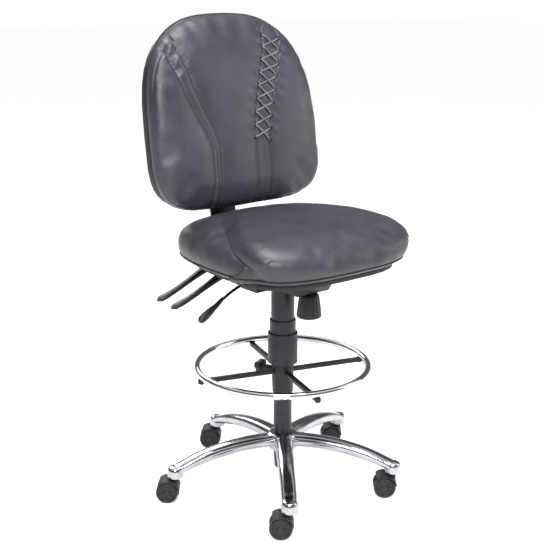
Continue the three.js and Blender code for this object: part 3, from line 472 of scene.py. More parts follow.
# ---- Base ----

ARM_STOPS = [  # along the arm: distance, half width, middle height, half height
    (0.015, 0.0250, 0.1335, 0.0165),
    (0.104, 0.0235, 0.1335, 0.0160),
    (0.177, 0.0222, 0.1255, 0.0158),
    (0.245, 0.0211, 0.1100, 0.0153),
    (0.310, 0.0200, 0.0865, 0.0125),
]
ARM_POINTS = 28  # around its section
CHANNEL = (0.100, 0.262)  # where the hollows under an arm start and end
CHANNEL_CHAMFER = 0.006
CHANNEL_OVERRUN = 0.01  # how far the cutting tool hangs below the arm
RIB_HALF = 0.003
ARM_WALL = 0.005


def arm_section(distance, half_width, middle, half_height):
    """Across an arm: straight flanks, soft edges and a crown that rises to a faint ridge."""
    ring = []
    for i in range(ARM_POINTS):
        a = math.tau * i / ARM_POINTS
        across, up = squared(math.cos(a), 3.4), squared(math.sin(a), 2.5)
        ring.append((distance, half_width * across * (1 - 0.05 * max(0, up)), middle + half_height * up))
    return ring


def arm():
    """One arm, hollow underneath on both sides of a rib."""
    bar = drawn(ARM_POINTS, [arm_section(*stop) for stop in smooth_line(ARM_STOPS, 18)])
    stops = [stop for stop in smooth_line(ARM_STOPS, 40) if CHANNEL[0] < stop[0] < CHANNEL[1]]
    channels = []
    for side in (-1, 1):
        sections = []
        for distance, half_width, middle, half_height in stops[::2]:
            outer = half_width - ARM_WALL
            low, high = middle - half_height - CHANNEL_OVERRUN, middle + half_height - ARM_WALL
            corners = [(RIB_HALF, low), (outer, low), (outer, high - CHANNEL_CHAMFER),
                       (outer - CHANNEL_CHAMFER, high), (RIB_HALF, high)]
            sections.append([(distance, side * y, z) for y, z in corners])
        channels.append(done(drawn(len(corners), sections), "channel", ALUMINIUM))
    done(bar, "arm", ALUMINIUM)
    return carve(bar, *channels)


def star_base():
    hub = turned([(0.035, 0.104), (0.043, 0.114), (0.043, 0.146), (0.037, 0.152)], radius=0.004)
    done(hub, "hub", ALUMINIUM)
    boss = turned([(0.0205, 0.068), (0.022, 0.0695), (0.022, 0.088), (0.0185, 0.0965), (0.009, 0.099)],
                  (CASTER_CIRCLE, 0, 0), 40, 0.004)
    one_arm = fuse(arm(), done(boss, "boss", ALUMINIUM))
    arms = [move(copied(one_arm), turn(FIRST_ARM + math.tau * i / BASE_ARMS)) for i in range(BASE_ARMS)]
    bpy.data.objects.remove(one_arm)
    star = fuse(hub, *arms)
    bore = done(turned([(0.0253, 0.05), (0.0253, 0.2)], radius=0.0001), "bore", ALUMINIUM)
    star = carve(star, bore)
    done(move(star, AT_COLUMN), "star_base", ALUMINIUM, 40)
    stands_for(star, "base", "polished_aluminium", "base_star")


star_base()

RIB_PITCH, RIB_WIDTH = 45, 7.5  # degrees around a wheel's face


def caster_wheel(side):
    """One twin wheel, drawn about Z and then laid on its axle: a soft tread, a dished and ribbed face."""
    inner, outer = 0.0095, 0.0265
    dish = outer - 0.0022
    profile = [(0.0275, inner), (0.030, inner + 0.0022), (0.030, outer - 0.005), (0.0272, outer - 0.0006),
               (0.0235, outer), (0.0225, dish), (0.0100, dish), (0.0088, outer + 0.0002),
               (0.0030, outer + 0.0008)]
    wheel = turned(profile, segments=48, radius=0.0009)

    def on_rib(face):
        centre = face.calc_center_median()
        angle = math.degrees(math.atan2(centre.y, centre.x))
        return abs(centre.z - dish) < 0.0002 and angle % RIB_PITCH < RIB_WIDTH

    only(wheel)
    bpy.ops.object.mode_set(mode="EDIT")
    choose(on_rib)
    bpy.ops.mesh.extrude_region_move(TRANSFORM_OT_translate={"value": (0, 0, 0.0012)})
    bpy.ops.object.mode_set(mode="OBJECT")
    flip = turn(math.radians(-90 if side > 0 else 90), "X")
    return move(wheel, shift(CASTER_TRAIL, 0, WHEEL_RADIUS) @ flip)


def caster_place(i):
    """Where an arm's caster goes, from a caster drawn about the origin and headed along X."""
    stem = polar(FIRST_ARM + math.tau * i / BASE_ARMS, CASTER_CIRCLE)
    return AT_COLUMN @ Matrix.Translation(stem) @ turn(CASTER_HEADING)


def casters():
    hood = eased_copy("caster_hood_1", 0.0007)
    move(hood, caster_place(0).inverted())
    wheels = {"left": caster_wheel(1), "right": caster_wheel(-1)}
    for i in range(BASE_ARMS):
        place, n = caster_place(i), i + 1
        cover = done(move(copied(hood), place), f"caster_cover_{n}", CASTER_PLASTIC)
        stands_for(cover, f"caster_{n}", "dark_plastic", f"caster_hood_{n}")
        for side, wheel in wheels.items():
            twin = done(move(copied(wheel), place), f"caster_wheel_{side}_{n}", CASTER_PLASTIC, 30)
            stands_for(twin, f"wheel_{side}_{n}", "dark_plastic", f"wheel_{side}_{n}")
    for piece in (hood, *wheels.values()):
        bpy.data.objects.remove(piece)


casters()

# ---- Column ----


def sleeve(name, profile, finish, body, slot, node):
    """An open tube about the column, which stands for one CAD node."""
    piece = turned(profile, COLUMN, 96, 0.0006, through=True)
    stands_for(done(piece, name, finish), body, slot, node)


sleeve("stand_tube", [(0.0222, 0.050), (0.025, 0.095), (0.025, 0.430), (0.022, 0.430), (0.022, 0.098),
                      (0.019, 0.054), (0.0053, 0.054), (0.0053, 0.050)],
       COLUMN_PAINT, "base", "coated_tube", "column_tube")
sleeve("lower_cover", [(0.0253, 0.3575), (0.0395, 0.3575), (0.0405, 0.359), (0.0405, 0.441),
                       (0.0398, 0.443), (0.039, 0.443), (0.039, 0.3605), (0.0253, 0.3605)],
       COVER_PLASTIC, "base", "satin_cover", "cover_lower")
sleeve("middle_cover", [(0.032, 0.397), (0.0355, 0.397), (0.0355, 0.476), (0.0352, 0.480), (0.034, 0.480),
                        (0.034, 0.400), (0.032, 0.400)],
       COVER_PLASTIC, "cover_middle", "satin_cover", "cover_middle")
sleeve("upper_cover", [(0.0315, 0.432), (0.0315, 0.5765), (0.0308, 0.5777), (0.0143, 0.5777),
                       (0.0143, 0.5747), (0.030, 0.5747), (0.030, 0.432)],
       COVER_PLASTIC, "lift", "satin_cover", "cover_upper")

# ---- Foot ring ----

RING_RADIUS, RING_HEIGHT, RING_TUBE = 0.2326, 0.348, 0.0095
SPOKE_TOP, SPOKE_HEIGHT, SPOKE_WIDTH = 0.3382, 0.011, 0.015
RING_HUB = (0.272, 0.357)  # its lower and upper end
KNOB_HEIGHT = SPOKE_TOP - SPOKE_HEIGHT / 2
SPOKE_ANGLES = [FIRST_SPOKE + math.tau * i / SPOKES for i in range(SPOKES)]
TO_KNOB = turn(KNOB_ANGLE) @ shift(z=KNOB_HEIGHT) @ turn(math.radians(90), "Y")


def ring_tube():
    clear()
    bpy.ops.mesh.primitive_torus_add(major_radius=RING_RADIUS, minor_radius=RING_TUBE, major_segments=192,
                                     minor_segments=28, location=COLUMN + Vector((0, 0, RING_HEIGHT)))
    ring = bpy.context.object
    bpy.ops.object.transform_apply(location=True, rotation=True, scale=True)

    def under_spoke(face):
        centre = face.calc_center_median() - COLUMN
        angle = math.atan2(centre.y, centre.x)
        near = min(abs(math.remainder(angle - spot, math.tau)) for spot in SPOKE_ANGLES)
        return near * RING_RADIUS < SPOKE_WIDTH / 2 and centre.z < RING_HEIGHT - 0.93 * RING_TUBE

    bpy.ops.object.mode_set(mode="EDIT")
    choose(under_spoke)
    bpy.ops.mesh.inset(thickness=0.0004)
    bpy.ops.object.mode_set(mode="OBJECT")
    stands_for(done(ring, "ring_tube", CHROME, 60), "foot_ring", "chrome_plate", "foot_ring_tube")


def spoke():
    """A flat bar with eased edges and a rounded end under the ring."""
    sections = []
    low, high, edge = SPOKE_TOP - SPOKE_HEIGHT, SPOKE_TOP, 0.0012
    stops = ((0.024, 0.0075), (0.190, 0.0075), (0.2345, 0.0075), (0.2392, 0.0066), (0.2418, 0.0045))
    for distance, half in stops:
        corners = [(-half + edge, low), (half - edge, low), (half, low + edge), (half, high - edge),
                   (half - edge, high), (-half + edge, high), (-half, high - edge), (-half, low + edge)]
        sections.append([(distance, y, z) for y, z in corners])
    return done(drawn(len(corners), sections), "spoke", POWDER_COAT)


def ring_carrier():
    """The hub that slides on the column, with its spokes and the boss of the clamp knob."""
    low, high = RING_HUB
    hub = turned([(0.0284, low), (0.030, high - 0.03), (0.030, high)], segments=96, radius=0.0015)
    done(hub, "hub", POWDER_COAT)
    bar = spoke()
    spokes = [move(copied(bar), turn(angle)) for angle in SPOKE_ANGLES]
    bpy.data.objects.remove(bar)
    boss = turned([(0.0095, 0.020), (0.009, 0.036), (0.009, 0.039)], segments=40)
    done(move(boss, TO_KNOB), "boss", POWDER_COAT)
    bore = done(turned([(0.027, 0.2), (0.027, 0.4)], segments=96, radius=0.0001), "bore", POWDER_COAT)
    carrier = carve(fuse(hub, *spokes, boss), bore)
    done(move(carrier, AT_COLUMN), "ring_carrier", POWDER_COAT)
    stands_for(carrier, "foot_ring", "satin_cover", "ring_spider")


def ring_screws():
    """Button-head screws, heads down, each with a round socket."""
    head = SPOKE_TOP - SPOKE_HEIGHT - 0.0003
    profile = [(0.003, RING_HEIGHT - 0.002), (0.003, head), (0.006, head), (0.006, head - 0.0014),
               (0.0040, head - 0.003), (0.0021, head - 0.003), (0.0021, head - 0.0012)]
    for n, angle in enumerate(SPOKE_ANGLES, 1):
        spot = COLUMN + polar(angle, RING_RADIUS)
        screw = done(turned(profile, spot, 24, 0.0003), f"ring_bolt_{n}", POWDER_COAT)
        stands_for(screw, "foot_ring", "black_steel", f"ring_screw_{n}")


def clamp_knob():
    """Three rounded lobes with eased rims, a dished face and a stepped neck."""
    rings, points = [], 60
    stops = ((0.0590, 0.55), (0.0595, 0.84), (0.0612, 0.96), (0.0640, 1.0), (0.0730, 1.0),
             (0.0765, 0.96), (0.0780, 0.84), (0.0782, 0.55), (0.0765, 0.40), (0.0765, 0.15))
    for height, scale in stops:
        ring = []
        for k in range(points):
            a = math.tau * k / points
            lobe = 0.025 * (0.78 + 0.22 * math.cos(3 * a)) if scale > 0.5 else 0.020
            ring.append((lobe * scale * math.cos(a), lobe * scale * math.sin(a), height))
        rings.append(ring)
    grip = done(drawn(points, rings), "grip", BLACK_PLASTIC)
    neck = turned([(0.004, 0.0275), (0.004, 0.040), (0.0088, 0.0402), (0.0088, 0.052), (0.0105, 0.0600)],
                  segments=40)
    knob = fuse(grip, done(neck, "neck", BLACK_PLASTIC))
    move(knob, AT_COLUMN @ TO_KNOB)
    stands_for(done(knob, "clamp_knob", BLACK_PLASTIC, 40), "ring_knob", "dark_plastic", "ring_knob")


ring_tube()
ring_carrier()
ring_screws()
clamp_knob()

# ---- Mechanism ----

KNOB_SPOT = COLUMN + Vector((0, -0.108, 0))
FLUTES, FLUTE_DEPTH = 18, 0.0011
PIVOT_X, PIVOT_Z = -0.080, 0.616


def tension_knob():
    """A fluted grip that widens downwards, on its threaded shank."""
    rings, points = [], 8 * FLUTES
    stops = [(0.511, 0.0265, 0), (0.5113, 0.0295, 0), (0.5135, 0.0322, 0.3), (0.518, 0.033, 1),
             (0.545, 0.0298, 1), (0.566, 0.0268, 1), (0.5715, 0.0255, 0.4), (0.5744, 0.0225, 0),
             (0.575, 0.012, 0), (0.5752, 0.005, 0), (0.600, 0.005, 0), (0.617, 0.0048, 0)]
    for z, radius, share in stops:
        ring = []
        for k in range(points):
            a = math.tau * k / points
            r = radius - share * FLUTE_DEPTH * (0.5 - 0.5 * math.cos(FLUTES * a)) ** 0.6
            ring.append(KNOB_SPOT + Vector((r * math.cos(a), r * math.sin(a), z)))
        rings.append(ring)
    knob = done(drawn(points, rings), "tension_grip", BLACK_PLASTIC, 40)
    stands_for(knob, "tension_knob", "dark_plastic", "tension_knob")


tension_knob()
for name, node, width, finish, body, slot in (
    ("mechanism_pan", "mechanism_housing", 0.0010, POWDER_COAT, "lift", "black_steel"),
    ("seat_carrier", "seat_plate", 0.0008, POWDER_COAT, "seat", "black_steel"),
    ("back_upright", "back_bar", 0.0012, POWDER_COAT, "back_frame", "black_steel"),
    ("back_bracket", "back_sleeve", 0.0012, COVER_PLASTIC, "backrest", "satin_cover"),
    ("seat_panel", "seat_board", 0.0015, PLYWOOD, "seat", "plywood"),
):
    stands_for(done(eased_copy(node, width), name, finish), body, slot, node)


def paddle(name, body, node, root, tip):
    """A moulded lever: a knuckle on its pivot, and a flat S-shaped arm with a thumb pad."""
    start = PIVOT_X - 0.002
    stops = [(0.01, 0.0, 0.022, 0.012), (0.25, 0.10, 0.027, 0.017), (0.5, 0.42, 0.021, 0.014),
             (0.75, 0.76, 0.021, 0.0125), (0.92, 0.93, 0.025, 0.0125), (0.985, 0.985, 0.021, 0.010),
             (1, 1, 0.012, 0.006)]
    rings, points = [], 20
    for share, drop, width, thick in smooth_line(stops, 26):
        centre = Vector((start + (tip[0] - start) * share, root + (tip[1] - root) * share,
                         PIVOT_Z + (tip[2] - PIVOT_Z) * drop))
        ring = []
        for k in range(points):
            a = math.tau * k / points
            y, z = squared(math.cos(a), 3.2), squared(math.sin(a), 2.6)
            ring.append(COLUMN + centre + Vector((0, width / 2 * y, thick / 2 * z)))
        rings.append(ring)
    lever = done(drawn(points, rings), "lever", BLACK_PLASTIC)
    knuckle = turned([(0.003, -0.0155), (0.003, -0.0122), (0.0072, -0.0122), (0.0072, 0.0122),
                      (0.003, 0.0122), (0.003, 0.0155)], segments=40, radius=0.0006)
    move(knuckle, AT_COLUMN @ shift(PIVOT_X, root, PIVOT_Z) @ turn(math.radians(90), "X"))
    done(knuckle, "knuckle", BLACK_PLASTIC)
    stands_for(done(fuse(lever, knuckle), name, BLACK_PLASTIC, 40), body, "dark_plastic", node)


paddle("seat_tilt_paddle", "tilt_lever", "tilt_lever", 0.082, (-0.300, 0.083, 0.547))
paddle("back_tilt_paddle", "back_lever", "back_lever", 0.164, (-0.300, 0.148, 0.553))

LEVER_Z = 0.6128


def height_lever():
    """A bent rod from the gas spring's release, with a grip that swells towards its end."""
    path = [(0.001, 0, 0), (-0.012, 0, 0), (-0.030, 0, 0), (-0.050, 0.003, -0.0018),
            (-0.066, 0.005, -0.004), (-0.105, 0.0015, -0.008), (-0.150, -0.006, -0.014),
            (-0.195, -0.016, -0.026), (-0.232, -0.026, -0.041)]
    points = [COLUMN + Vector((x, y, LEVER_Z + z)) for x, y, z in path]
    rod = done(strands([points], 0.004, 6), "rod", POWDER_COAT)
    boss = turned([(0.007, -0.006), (0.007, 0.006)], segments=40)
    move(boss, AT_COLUMN @ shift(-0.020, 0, LEVER_Z) @ turn(math.radians(90), "X"))
    done(boss, "boss", POWDER_COAT)
    lever = done(fuse(rod, boss), "height_rod", POWDER_COAT, 40)
    stands_for(lever, "height_lever", "black_steel", "height_lever_rod")
    path = [(-0.214, -0.0205, -0.0325), (-0.222, -0.023, -0.036), (-0.232, -0.0260, -0.0410),
            (-0.245, -0.0295, -0.0465), (-0.258, -0.0325, -0.0518), (-0.272, -0.0358, -0.0575),
            (-0.286, -0.0397, -0.0632), (-0.297, -0.0430, -0.0678), (-0.3015, -0.0444, -0.0697)]
    points = [COLUMN + Vector((x, y, LEVER_Z + z)) for x, y, z in path]
    grip = strands([points], 0.0090, 7, [0.52, 0.60, 0.68, 0.78, 0.98, 1.14, 1.20, 1.08, 0.66])
    done(grip, "height_grip", BLACK_PLASTIC, 50)
    stands_for(grip, "height_lever", "dark_plastic", "height_lever_grip")


height_lever()

# The CAD nodes that show as they are, each with its finish.
SHOWN = {
    STEEL: ["thrust_bearing", "retaining_clip", "piston_rod", "release_button", "back_pivot_pin",
            "tilt_axle", "tension_spring"],
    NYLON: ["guide_bush", "ring_bush"],
    POWDER_COAT: ["pressure_tube"],
}
for n in range(1, BASE_ARMS + 1):
    SHOWN[STEEL] += [f"caster_stem_{n}", f"caster_axle_{n}"]
for finish, nodes in SHOWN.items():
    for node in nodes:
        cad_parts[node].data.materials.clear()
        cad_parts[node].data.materials.append(finish)

# ---- Cushions ----


def soft_copy(node, growth, flat_bottom=False):
    """A cushion's solid, larger by the growth on each side, remeshed into an even net for the cloth."""
    low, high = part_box(node)
    size, centre = high - low, (low + high) / 2
    if flat_bottom:
        centre.z = low.z
    piece = solid_copy(node)
    bpy.ops.transform.resize(value=[1 + 2 * growth / side for side in size], center_override=centre)
    bpy.ops.object.mode_set(mode="OBJECT")
    modify(piece, "REMESH", mode="VOXEL", voxel_size=0.006)
    modify(piece, "SMOOTH", factor=0.5, iterations=4)
    return piece


def settle(piece):
    """Takes the wrinkles out of a net after the cloth, and doubles its points each way."""
    modify(piece, "SMOOTH", factor=0.5, iterations=16)
    modify(piece, "SUBSURF", levels=1, render_levels=1)


def net(piece):
    """A piece's points and normals as arrays."""
    count = len(piece.data.vertices)
    points, normals = np.empty(count * 3), np.empty(count * 3)
    piece.data.vertices.foreach_get("co", points)
    piece.data.vertices.foreach_get("normal", normals)
    return points.reshape(-1, 3), normals.reshape(-1, 3)


def set_net(piece, points):
    piece.data.vertices.foreach_set("co", points.ravel())
    piece.data.update()


FULLNESS = 0.6  # the share of the cloth's swelling that is kept: foam under a cover keeps it smooth
CLOTH_FRAMES = 20


def inflate(piece, held, cap):
    """Blows the net up by cloth simulation, with some points held and none moving further than the cap."""
    start, _ = net(piece)
    group = piece.vertex_groups.new(name="held")
    group.add([int(i) for i in np.flatnonzero(held)], 1.0, "REPLACE")
    only(piece)
    cloth = piece.modifiers.new("cloth", "CLOTH")
    cloth.settings.quality = 5
    cloth.settings.tension_stiffness = 25
    cloth.settings.bending_stiffness = 20
    cloth.settings.use_pressure = True
    cloth.settings.uniform_pressure_force = 4
    cloth.settings.effector_weights.gravity = 0
    cloth.settings.vertex_group_mass = group.name
    cloth.point_cache.frame_start, cloth.point_cache.frame_end = 1, CLOTH_FRAMES
    for number in range(1, CLOTH_FRAMES + 1):
        bpy.context.scene.frame_set(number)
    bpy.ops.object.modifier_apply(modifier=cloth.name)
    bpy.context.scene.frame_set(1)
    ended, _ = net(piece)
    moved = ended - start
    length = np.maximum(np.linalg.norm(moved, axis=1), 1e-9)
    set_net(piece, start + moved * np.minimum(FULLNESS, cap / length)[:, None])
    piece.vertex_groups.clear()


def to_line(points, line):
    """For each point, its distance to a line through stops, that distance signed, and how far along it is.

    The sign is that of the side it lies on in the plane of the first two axes.
    """
    line = np.array(line, float)
    best = np.full(len(points), 1e9)
    side, along = np.zeros(len(points)), np.zeros(len(points))
    walked = 0.0
    for a, b in zip(line, line[1:]):
        step = b - a
        length = np.linalg.norm(step)
        t = np.clip((points - a) @ step / length**2, 0, 1)
        gap = points - (a + t[:, None] * step)
        distance = np.linalg.norm(gap, axis=1)
        near = distance < best
        best[near] = distance[near]
        side[near] = np.sign(step[0] * gap[near, 1] - step[1] * gap[near, 0]) * distance[near]
        along[near] = walked + t[near] * length
        walked += length
    return best, side, along


def bell(distance, width):
    """One on a line, and falling smoothly to nothing on both sides of it."""
    return np.exp(-((distance / width) ** 2))


def ease(value, low, high):
    """A smooth step from nothing at low to one at high."""
    t = np.clip((value - low) / (high - low), 0, 1)
    return t * t * (3 - 2 * t)


def in_back(points):
    """Points turned into the backrest's own upright frame."""
    m = np.array(FROM_BACK)
    return points @ m[:3, :3].T + m[:3, 3]


def skin(piece):
    """A search tree of a piece's faces."""
    mesh = piece.data
    return BVHTree.FromPolygons([v.co for v in mesh.vertices], [p.vertices for p in mesh.polygons])


def round_edge(piece, centre, across, along, proud):
    """A closed loop of points on a piece's skin, found from outside in the plane of two directions."""
    tree = skin(piece)
    loop, count = [], 160
    for k in range(count):
        a = math.tau * k / count
        way = across * math.cos(a) + along * math.sin(a)
        hit, normal, _, _ = tree.ray_cast(centre + way, -way)
        loop.append(hit + normal * proud)
    return loop


# Seams of the back, in its own frame: sideways and up, in metres. Each is the middle of a pair.
LEFT_SEAM = [(-0.204, 0.515), (-0.182, 0.452), (-0.160, 0.377), (-0.136, 0.318), (-0.110, 0.262),
             (-0.098, 0.222), (-0.100, 0.150), (-0.108, 0.066)]
LACED_BAND = [(0.138, 0.522), (0.121, 0.462), (0.103, 0.414), (0.091, 0.378), (0.078, 0.340),
              (0.066, 0.300), (0.056, 0.250), (0.051, 0.200), (0.048, 0.066)]
LEFT_HALF = (0.0185, 0.0105)  # half the gap of each pair, at the top and at the bottom
LACED_HALF = (0.0275, 0.0225)
LACE_ROWS = 9
LACE_TOP, LACE_END = 0.512, 0.222
LACE_STEP = 0.0345
STITCH_LOW, STITCH_HIGH = 0.085, 0.470  # where the skin faces forwards enough to be stitched
PUCKER, GATHER = 0.0125, 0.036  # the length of a pucker and of a gather along a seam


def seam_half(z, half):
    """Half the gap between a pair of seams, which widens towards the top of the back."""
    top, bottom = half
    return bottom + (top - bottom) * ease(z, 0.10, 0.50)


def back_relief(points, normals):
    """Seams, gathers and the laced band pressed into the front of the back cushion."""
    local = in_back(points)
    flat, z = local[:, [0, 2]], local[:, 2]
    front = ease(-local[:, 1], 0.085, 0.115)
    sink = np.zeros(len(points))

    near, side, along = to_line(flat, LEFT_SEAM)
    half = seam_half(z, LEFT_HALF)
    sink += 0.0065 * bell(near, 0.034)
    sink += 0.0042 * (bell(side - half, 0.0034) + bell(side + half, 0.0034))
    sink -= 0.0036 * bell(near, 0.009)
    pucker = np.sin(along * math.tau / PUCKER + 3 * side / 0.02)
    sink += 0.0003 * pucker * bell(near - half, 0.011) * (0.25 + ease(z, 0.36, 0.47))
    gather = np.sin(along * math.tau / GATHER + side / 0.012)
    sink += 0.0026 * gather * bell(near, 0.022) * ease(z, 0.38, 0.48)

    near, side, along = to_line(flat, LACED_BAND)
    half = seam_half(z, LACED_HALF)
    sink += 0.0040 * bell(near, 0.046)
    sink += 0.0034 * (bell(side - half, 0.0040) + bell(side + half, 0.0040))
    laced = ease(z, LACE_END - 0.01, LACE_END + 0.03)
    pull = 0.5 - 0.5 * np.cos(along * math.tau / LACE_STEP)
    sink -= 0.0030 * laced * pull * bell(near, 0.020)
    sink += 0.0016 * laced * np.sin(along * math.tau / LACE_STEP) * bell(near - half - 0.012, 0.014)

    # A groove round the rim, where the front panel meets the side.
    facing = np.abs(normals @ np.array(TO_BACK.to_3x3() @ Vector((0, 1, 0))))
    groove = 0.0022 * bell(local[:, 1] + 0.112, 0.0035) * (1 - ease(facing, 0.55, 0.8))
    return points - normals * (sink * front + groove)[:, None]


def on_back(tree, x, z, proud):
    """A point on the front of the back cushion, and the way it faces."""
    start = TO_BACK @ Vector((x, -0.4, z))
    way = TO_BACK.to_3x3() @ Vector((0, 1, 0))
    hit, normal, _, _ = tree.ray_cast(start, way)
    return hit + normal * proud, normal


def along_line(line, step):
    """Points a step apart along a line, each with its sideways direction."""
    line = [Vector(p) for p in line]
    out, left = [], 0.0
    for a, b in zip(line, line[1:]):
        length, way = (b - a).length, (b - a).normalized()
        while left < length:
            out.append((a + way * left, Vector((way.y, -way.x))))
            left += step
        left -= length
    return out


def stitched(tree, line, half, z_high):
    """Short stitches on the back, just outside both seams of a pair."""
    out = []
    for spot, across in along_line(line, 0.0062):
        if not STITCH_LOW < spot.y < z_high:
            continue
        gap = float(seam_half(np.array(spot.y), half))
        way = Vector((-across.y, across.x))
        for hand in (-1, 1):
            middle = spot + across * hand * (gap + 0.0045)
            ends = [middle - way * 0.0019, middle, middle + way * 0.0019]
            lifts = (-0.0004, 0.0007, -0.0004)
            out.append([on_back(tree, p.x, p.y, lift)[0] for p, lift in zip(ends, lifts)])
    return out


def lacing(tree):
    """Two columns of eyelets with crossed laces. Each eyelet is a black ring whose closed dark floor is
    painted shade in place of its hole.
    """
    holes = []
    for row in range(LACE_ROWS):
        z = LACE_TOP - row * LACE_STEP
        centre = np.interp(z, [p[1] for p in LACED_BAND[::-1]], [p[0] for p in LACED_BAND[::-1]])
        half = float(seam_half(np.array(z), LACED_HALF))
        holes.append((Vector((centre - half, z + 0.004)), Vector((centre + half, z - 0.010))))
    eyelets = []
    # The rim is the eyelet's own black; the flat dark floor inside it is painted shade standing in for the
    # hole.
    eyelet_cup_with_hole_shade = turned([(0.0062, -0.003), (0.0062, 0.0018), (0.0054, 0.0028), (0.0045, 0.0024),
                  (0.0042, 0.0014)], segments=20, radius=0.0003)
    for pair in holes:
        for hole in pair:
            spot, normal = on_back(tree, hole.x, hole.y, 0.0003)
            facing = normal.to_track_quat("Z", "Y").to_matrix().to_4x4()
            eyelets.append(move(copied(eyelet_cup_with_hole_shade), Matrix.Translation(spot) @ facing))
    bpy.data.objects.remove(eyelet_cup_with_hole_shade)
    stands_for(done(join(*eyelets), "lace_eyelets_and_hole_shade", THREAD), "backrest", "leather")

    laces, steps = [], 8
    for upper, lower in zip(holes, holes[1:]):
        for start, end in ((upper[0], lower[1]), (upper[1], lower[0])):
            line = []
            for k in range(steps + 1):
                t = k / steps
                lift = 0.0022 if 0 < k < steps else -0.0015
                lift += 0.0015 * math.sin(math.pi * t) * (1 if start is upper[0] else 0)
                spot = start.lerp(end, t)
                line.append(on_back(tree, spot.x, spot.y, lift)[0])
            laces.append(line)
    laces = done(strands(laces, 0.0024, 3, steps=4), "lacing", LACE, 60)
    stands_for(laces, "backrest", "leather")


def back_cushion():
    piece = soft_copy("back_cushion", 0.003)
    points, _ = net(piece)
    inflate(piece, in_back(points)[:, 1] > -0.088, 0.008)
    settle(piece)
    points, normals = net(piece)
    set_net(piece, back_relief(points, normals))
    done(piece, "back_upholstery", LEATHER, 180)
    stands_for(piece, "backrest", "leather", "back_cushion")

    tree = skin(piece)
    lacing(tree)
    stitches = stitched(tree, LEFT_SEAM, LEFT_HALF, STITCH_HIGH)
    stitches += stitched(tree, LACED_BAND, LACED_HALF, LACE_END)
    stitches = done(strands(stitches, 0.00055, 0, steps=4), "back_stitching", THREAD, 60)
    stands_for(stitches, "backrest", "leather")

    middle = TO_BACK @ Vector((0, -0.080, 0.317))
    lean = TO_BACK.to_3x3()
    loop = round_edge(piece, middle, lean @ Vector((1, 0, 0)), lean @ Vector((0, 0, 1)), 0.0006)
    piping = done(strands([loop], 0.0027, 3, steps=4, closed=True), "back_piping", THREAD, 60)
    stands_for(piping, "backrest", "leather")


# The crease at the sitter's right, from the column's foot: from the top of the seat to its front corner.
CREASE = [(-0.118, 0.110, 0.757), (-0.165, 0.045, 0.757), (-0.212, -0.035, 0.750), (-0.246, -0.092, 0.738),
          (-0.262, -0.135, 0.720), (-0.264, -0.172, 0.703), (-0.258, -0.192, 0.682), (-0.247, -0.205, 0.660)]


def seat_form(points):
    """Draws in the seat's lower edge and its corners before it is blown up, so that it has no flat wall."""
    low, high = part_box("seat_cushion")
    half, centre = (high - low) / 2, (low + high) / 2
    x, y = (points[:, 0] - centre.x) / half.x, (points[:, 1] - centre.y) / half.y
    rim = np.minimum(1, (np.abs(x) ** 3 + np.abs(y) ** 3) ** (1 / 3))
    t = (points[:, 2] - low.z) / (high.z - low.z)
    forward = ease(-y, -0.2, 1.0)
    pull = (0.015 + 0.035 * forward) * (1 - t) ** 2 + 0.010 * t**3
    out = points.copy()
    out[:, 0] = centre.x + (points[:, 0] - centre.x) * (1 - pull * rim**2)
    out[:, 1] = centre.y + (points[:, 1] - centre.y) * (1 - pull * rim**2)
    lift = 0.006 * forward * rim**6 * (1 - t) * ease(t, 0.0, 0.05)
    out[:, 2] += lift - 0.005 * rim**4 * t - 0.010 * ease(y, 0.45, 0.95) * t
    return out


def seat_relief(points, normals):
    """The creases from the top of the seat to its front corners, with a full front roll between them."""
    local = points - np.array(COLUMN)
    sink = np.zeros(len(points))
    for hand in (1, -1):
        near, side, along = to_line(local * np.array((hand, 1, 1)), CREASE)
        fade = ease(along, 0.0, 0.10)
        sink += fade * (0.0095 * bell(near, 0.024) + 0.0050 * bell(near, 0.0045))
        roll = 0.0085 * fade * (1 - ease(along, 0.30, 0.40))
        sink -= roll * bell(near - 0.055, 0.036) * (side > 0)
    return points - normals * sink[:, None]


def seat_cushion():
    piece = soft_copy("seat_cushion", 0.004, flat_bottom=True)
    points, _ = net(piece)
    set_net(piece, seat_form(points))
    points, _ = net(piece)
    low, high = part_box("seat_cushion")
    inflate(piece, points[:, 2] < low.z + 0.010, 0.009)
    settle(piece)
    points, normals = net(piece)
    points = seat_relief(points, normals)
    points[:, 2] = np.maximum(points[:, 2], low.z)
    set_net(piece, points)
    done(piece, "seat_upholstery", LEATHER, 180)
    stands_for(piece, "seat", "leather", "seat_cushion")
    middle = Vector(((low.x + high.x) / 2, (low.y + high.y) / 2, low.z + 0.016))
    loop = round_edge(piece, middle, Vector((1, 0, 0)), Vector((0, 1, 0)), 0.0005)
    piping = done(strands([loop], 0.0026, 3, steps=4, closed=True), "seat_piping", THREAD, 60)
    stands_for(piping, "seat", "leather")


def back_shell():
    shell = eased_copy("back_shell", 0.003, 3)
    stands_for(done(shell, "back_shell_cover", BLACK_PLASTIC, 40), "backrest", "dark_plastic", "back_shell")


back_cushion()
seat_cushion()
back_shell()

# ---- Stage ----


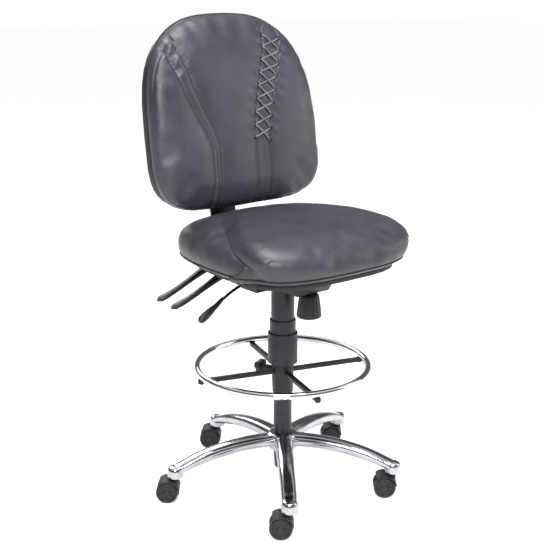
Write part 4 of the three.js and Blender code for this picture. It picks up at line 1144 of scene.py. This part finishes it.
def studio():
    """A pale floor, a world that is white to the camera and banded in reflections, lamps and camera."""
    clear()
    bpy.ops.mesh.primitive_plane_add(size=60, location=(0, 0, 0))
    floor = bpy.context.object
    floor.name = "studio_floor"
    pale = Finish("pale_floor", (0.80, 0.80, 0.80), 0.6)
    cloud = pale.noise(1.5, 3)
    pale.tint(cloud, (0.79, 0.79, 0.79), (0.81, 0.81, 0.81))
    pale.shader.inputs["Emission Color"].default_value = (1, 1, 1, 1)
    pale.shader.inputs["Emission Strength"].default_value = 0.47
    floor.data.materials.append(pale.material)

    world = bpy.data.worlds.new("studio")
    bpy.context.scene.world = world
    world.use_nodes = True
    tree = world.node_tree
    background = tree.nodes["Background"]
    place = tree.nodes.new("ShaderNodeTexCoord")
    split = tree.nodes.new("ShaderNodeSeparateXYZ")
    ramp = tree.nodes.new("ShaderNodeValToRGB")
    first, last = ramp.color_ramp.elements
    first.position, first.color = 0.0, (0.95, 0.95, 0.95, 1)
    last.position, last.color = 1.0, (1.1, 1.1, 1.1, 1)
    for position, value in ((0.07, 0.9), (0.15, 0.16), (0.56, 0.14), (0.70, 0.9)):
        stop = ramp.color_ramp.elements.new(position)
        stop.color = (value, value, value * 1.01, 1)
    tree.links.new(place.outputs["Generated"], split.inputs["Vector"])
    tree.links.new(split.outputs["Z"], ramp.inputs["Fac"])
    path = tree.nodes.new("ShaderNodeLightPath")
    white = tree.nodes.new("ShaderNodeMixRGB")
    white.inputs["Color2"].default_value = (1, 1, 1, 1)
    tree.links.new(path.outputs["Is Camera Ray"], white.inputs["Fac"])
    tree.links.new(ramp.outputs["Color"], white.inputs["Color1"])
    tree.links.new(white.outputs["Color"], background.inputs["Color"])
    background.inputs["Strength"].default_value = 1.0

    for name, spot, target, size, power in (
        ("key", (-2.2, -2.6, 2.9), (0, 0, 0.8), 1.2, 130),
        ("fill", (2.8, -1.8, 1.8), (0, 0, 0.7), 2.0, 35),
        ("top", (-0.2, -0.5, 3.0), (0, -0.1, 0.7), 1.3, 66),
        ("back", (0.6, 3.0, 2.4), (0, 0, 0.9), 1.6, 50),
    ):
        light = bpy.data.lights.new(name, "AREA")
        light.size, light.energy = size, power
        lamp = bpy.data.objects.new(name, light)
        bpy.context.collection.objects.link(lamp)
        lamp.location = spot
        lamp.rotation_euler = (Vector(target) - Vector(spot)).to_track_quat("-Z", "Y").to_euler()

    camera = bpy.data.objects.new("camera", bpy.data.cameras.new("camera"))
    bpy.context.collection.objects.link(camera)
    camera.data.sensor_width, camera.data.lens = 36, 69.7
    camera.location = COLUMN + Vector((-1.7369, -2.1175, 1.3491))
    aim = COLUMN + Vector((-0.0162, 0.0133, 0.6014))
    camera.rotation_euler = (aim - camera.location).to_track_quat("-Z", "Y").to_euler()
    bpy.context.scene.camera = camera
    bpy.context.scene.view_settings.view_transform = "Standard"


studio()
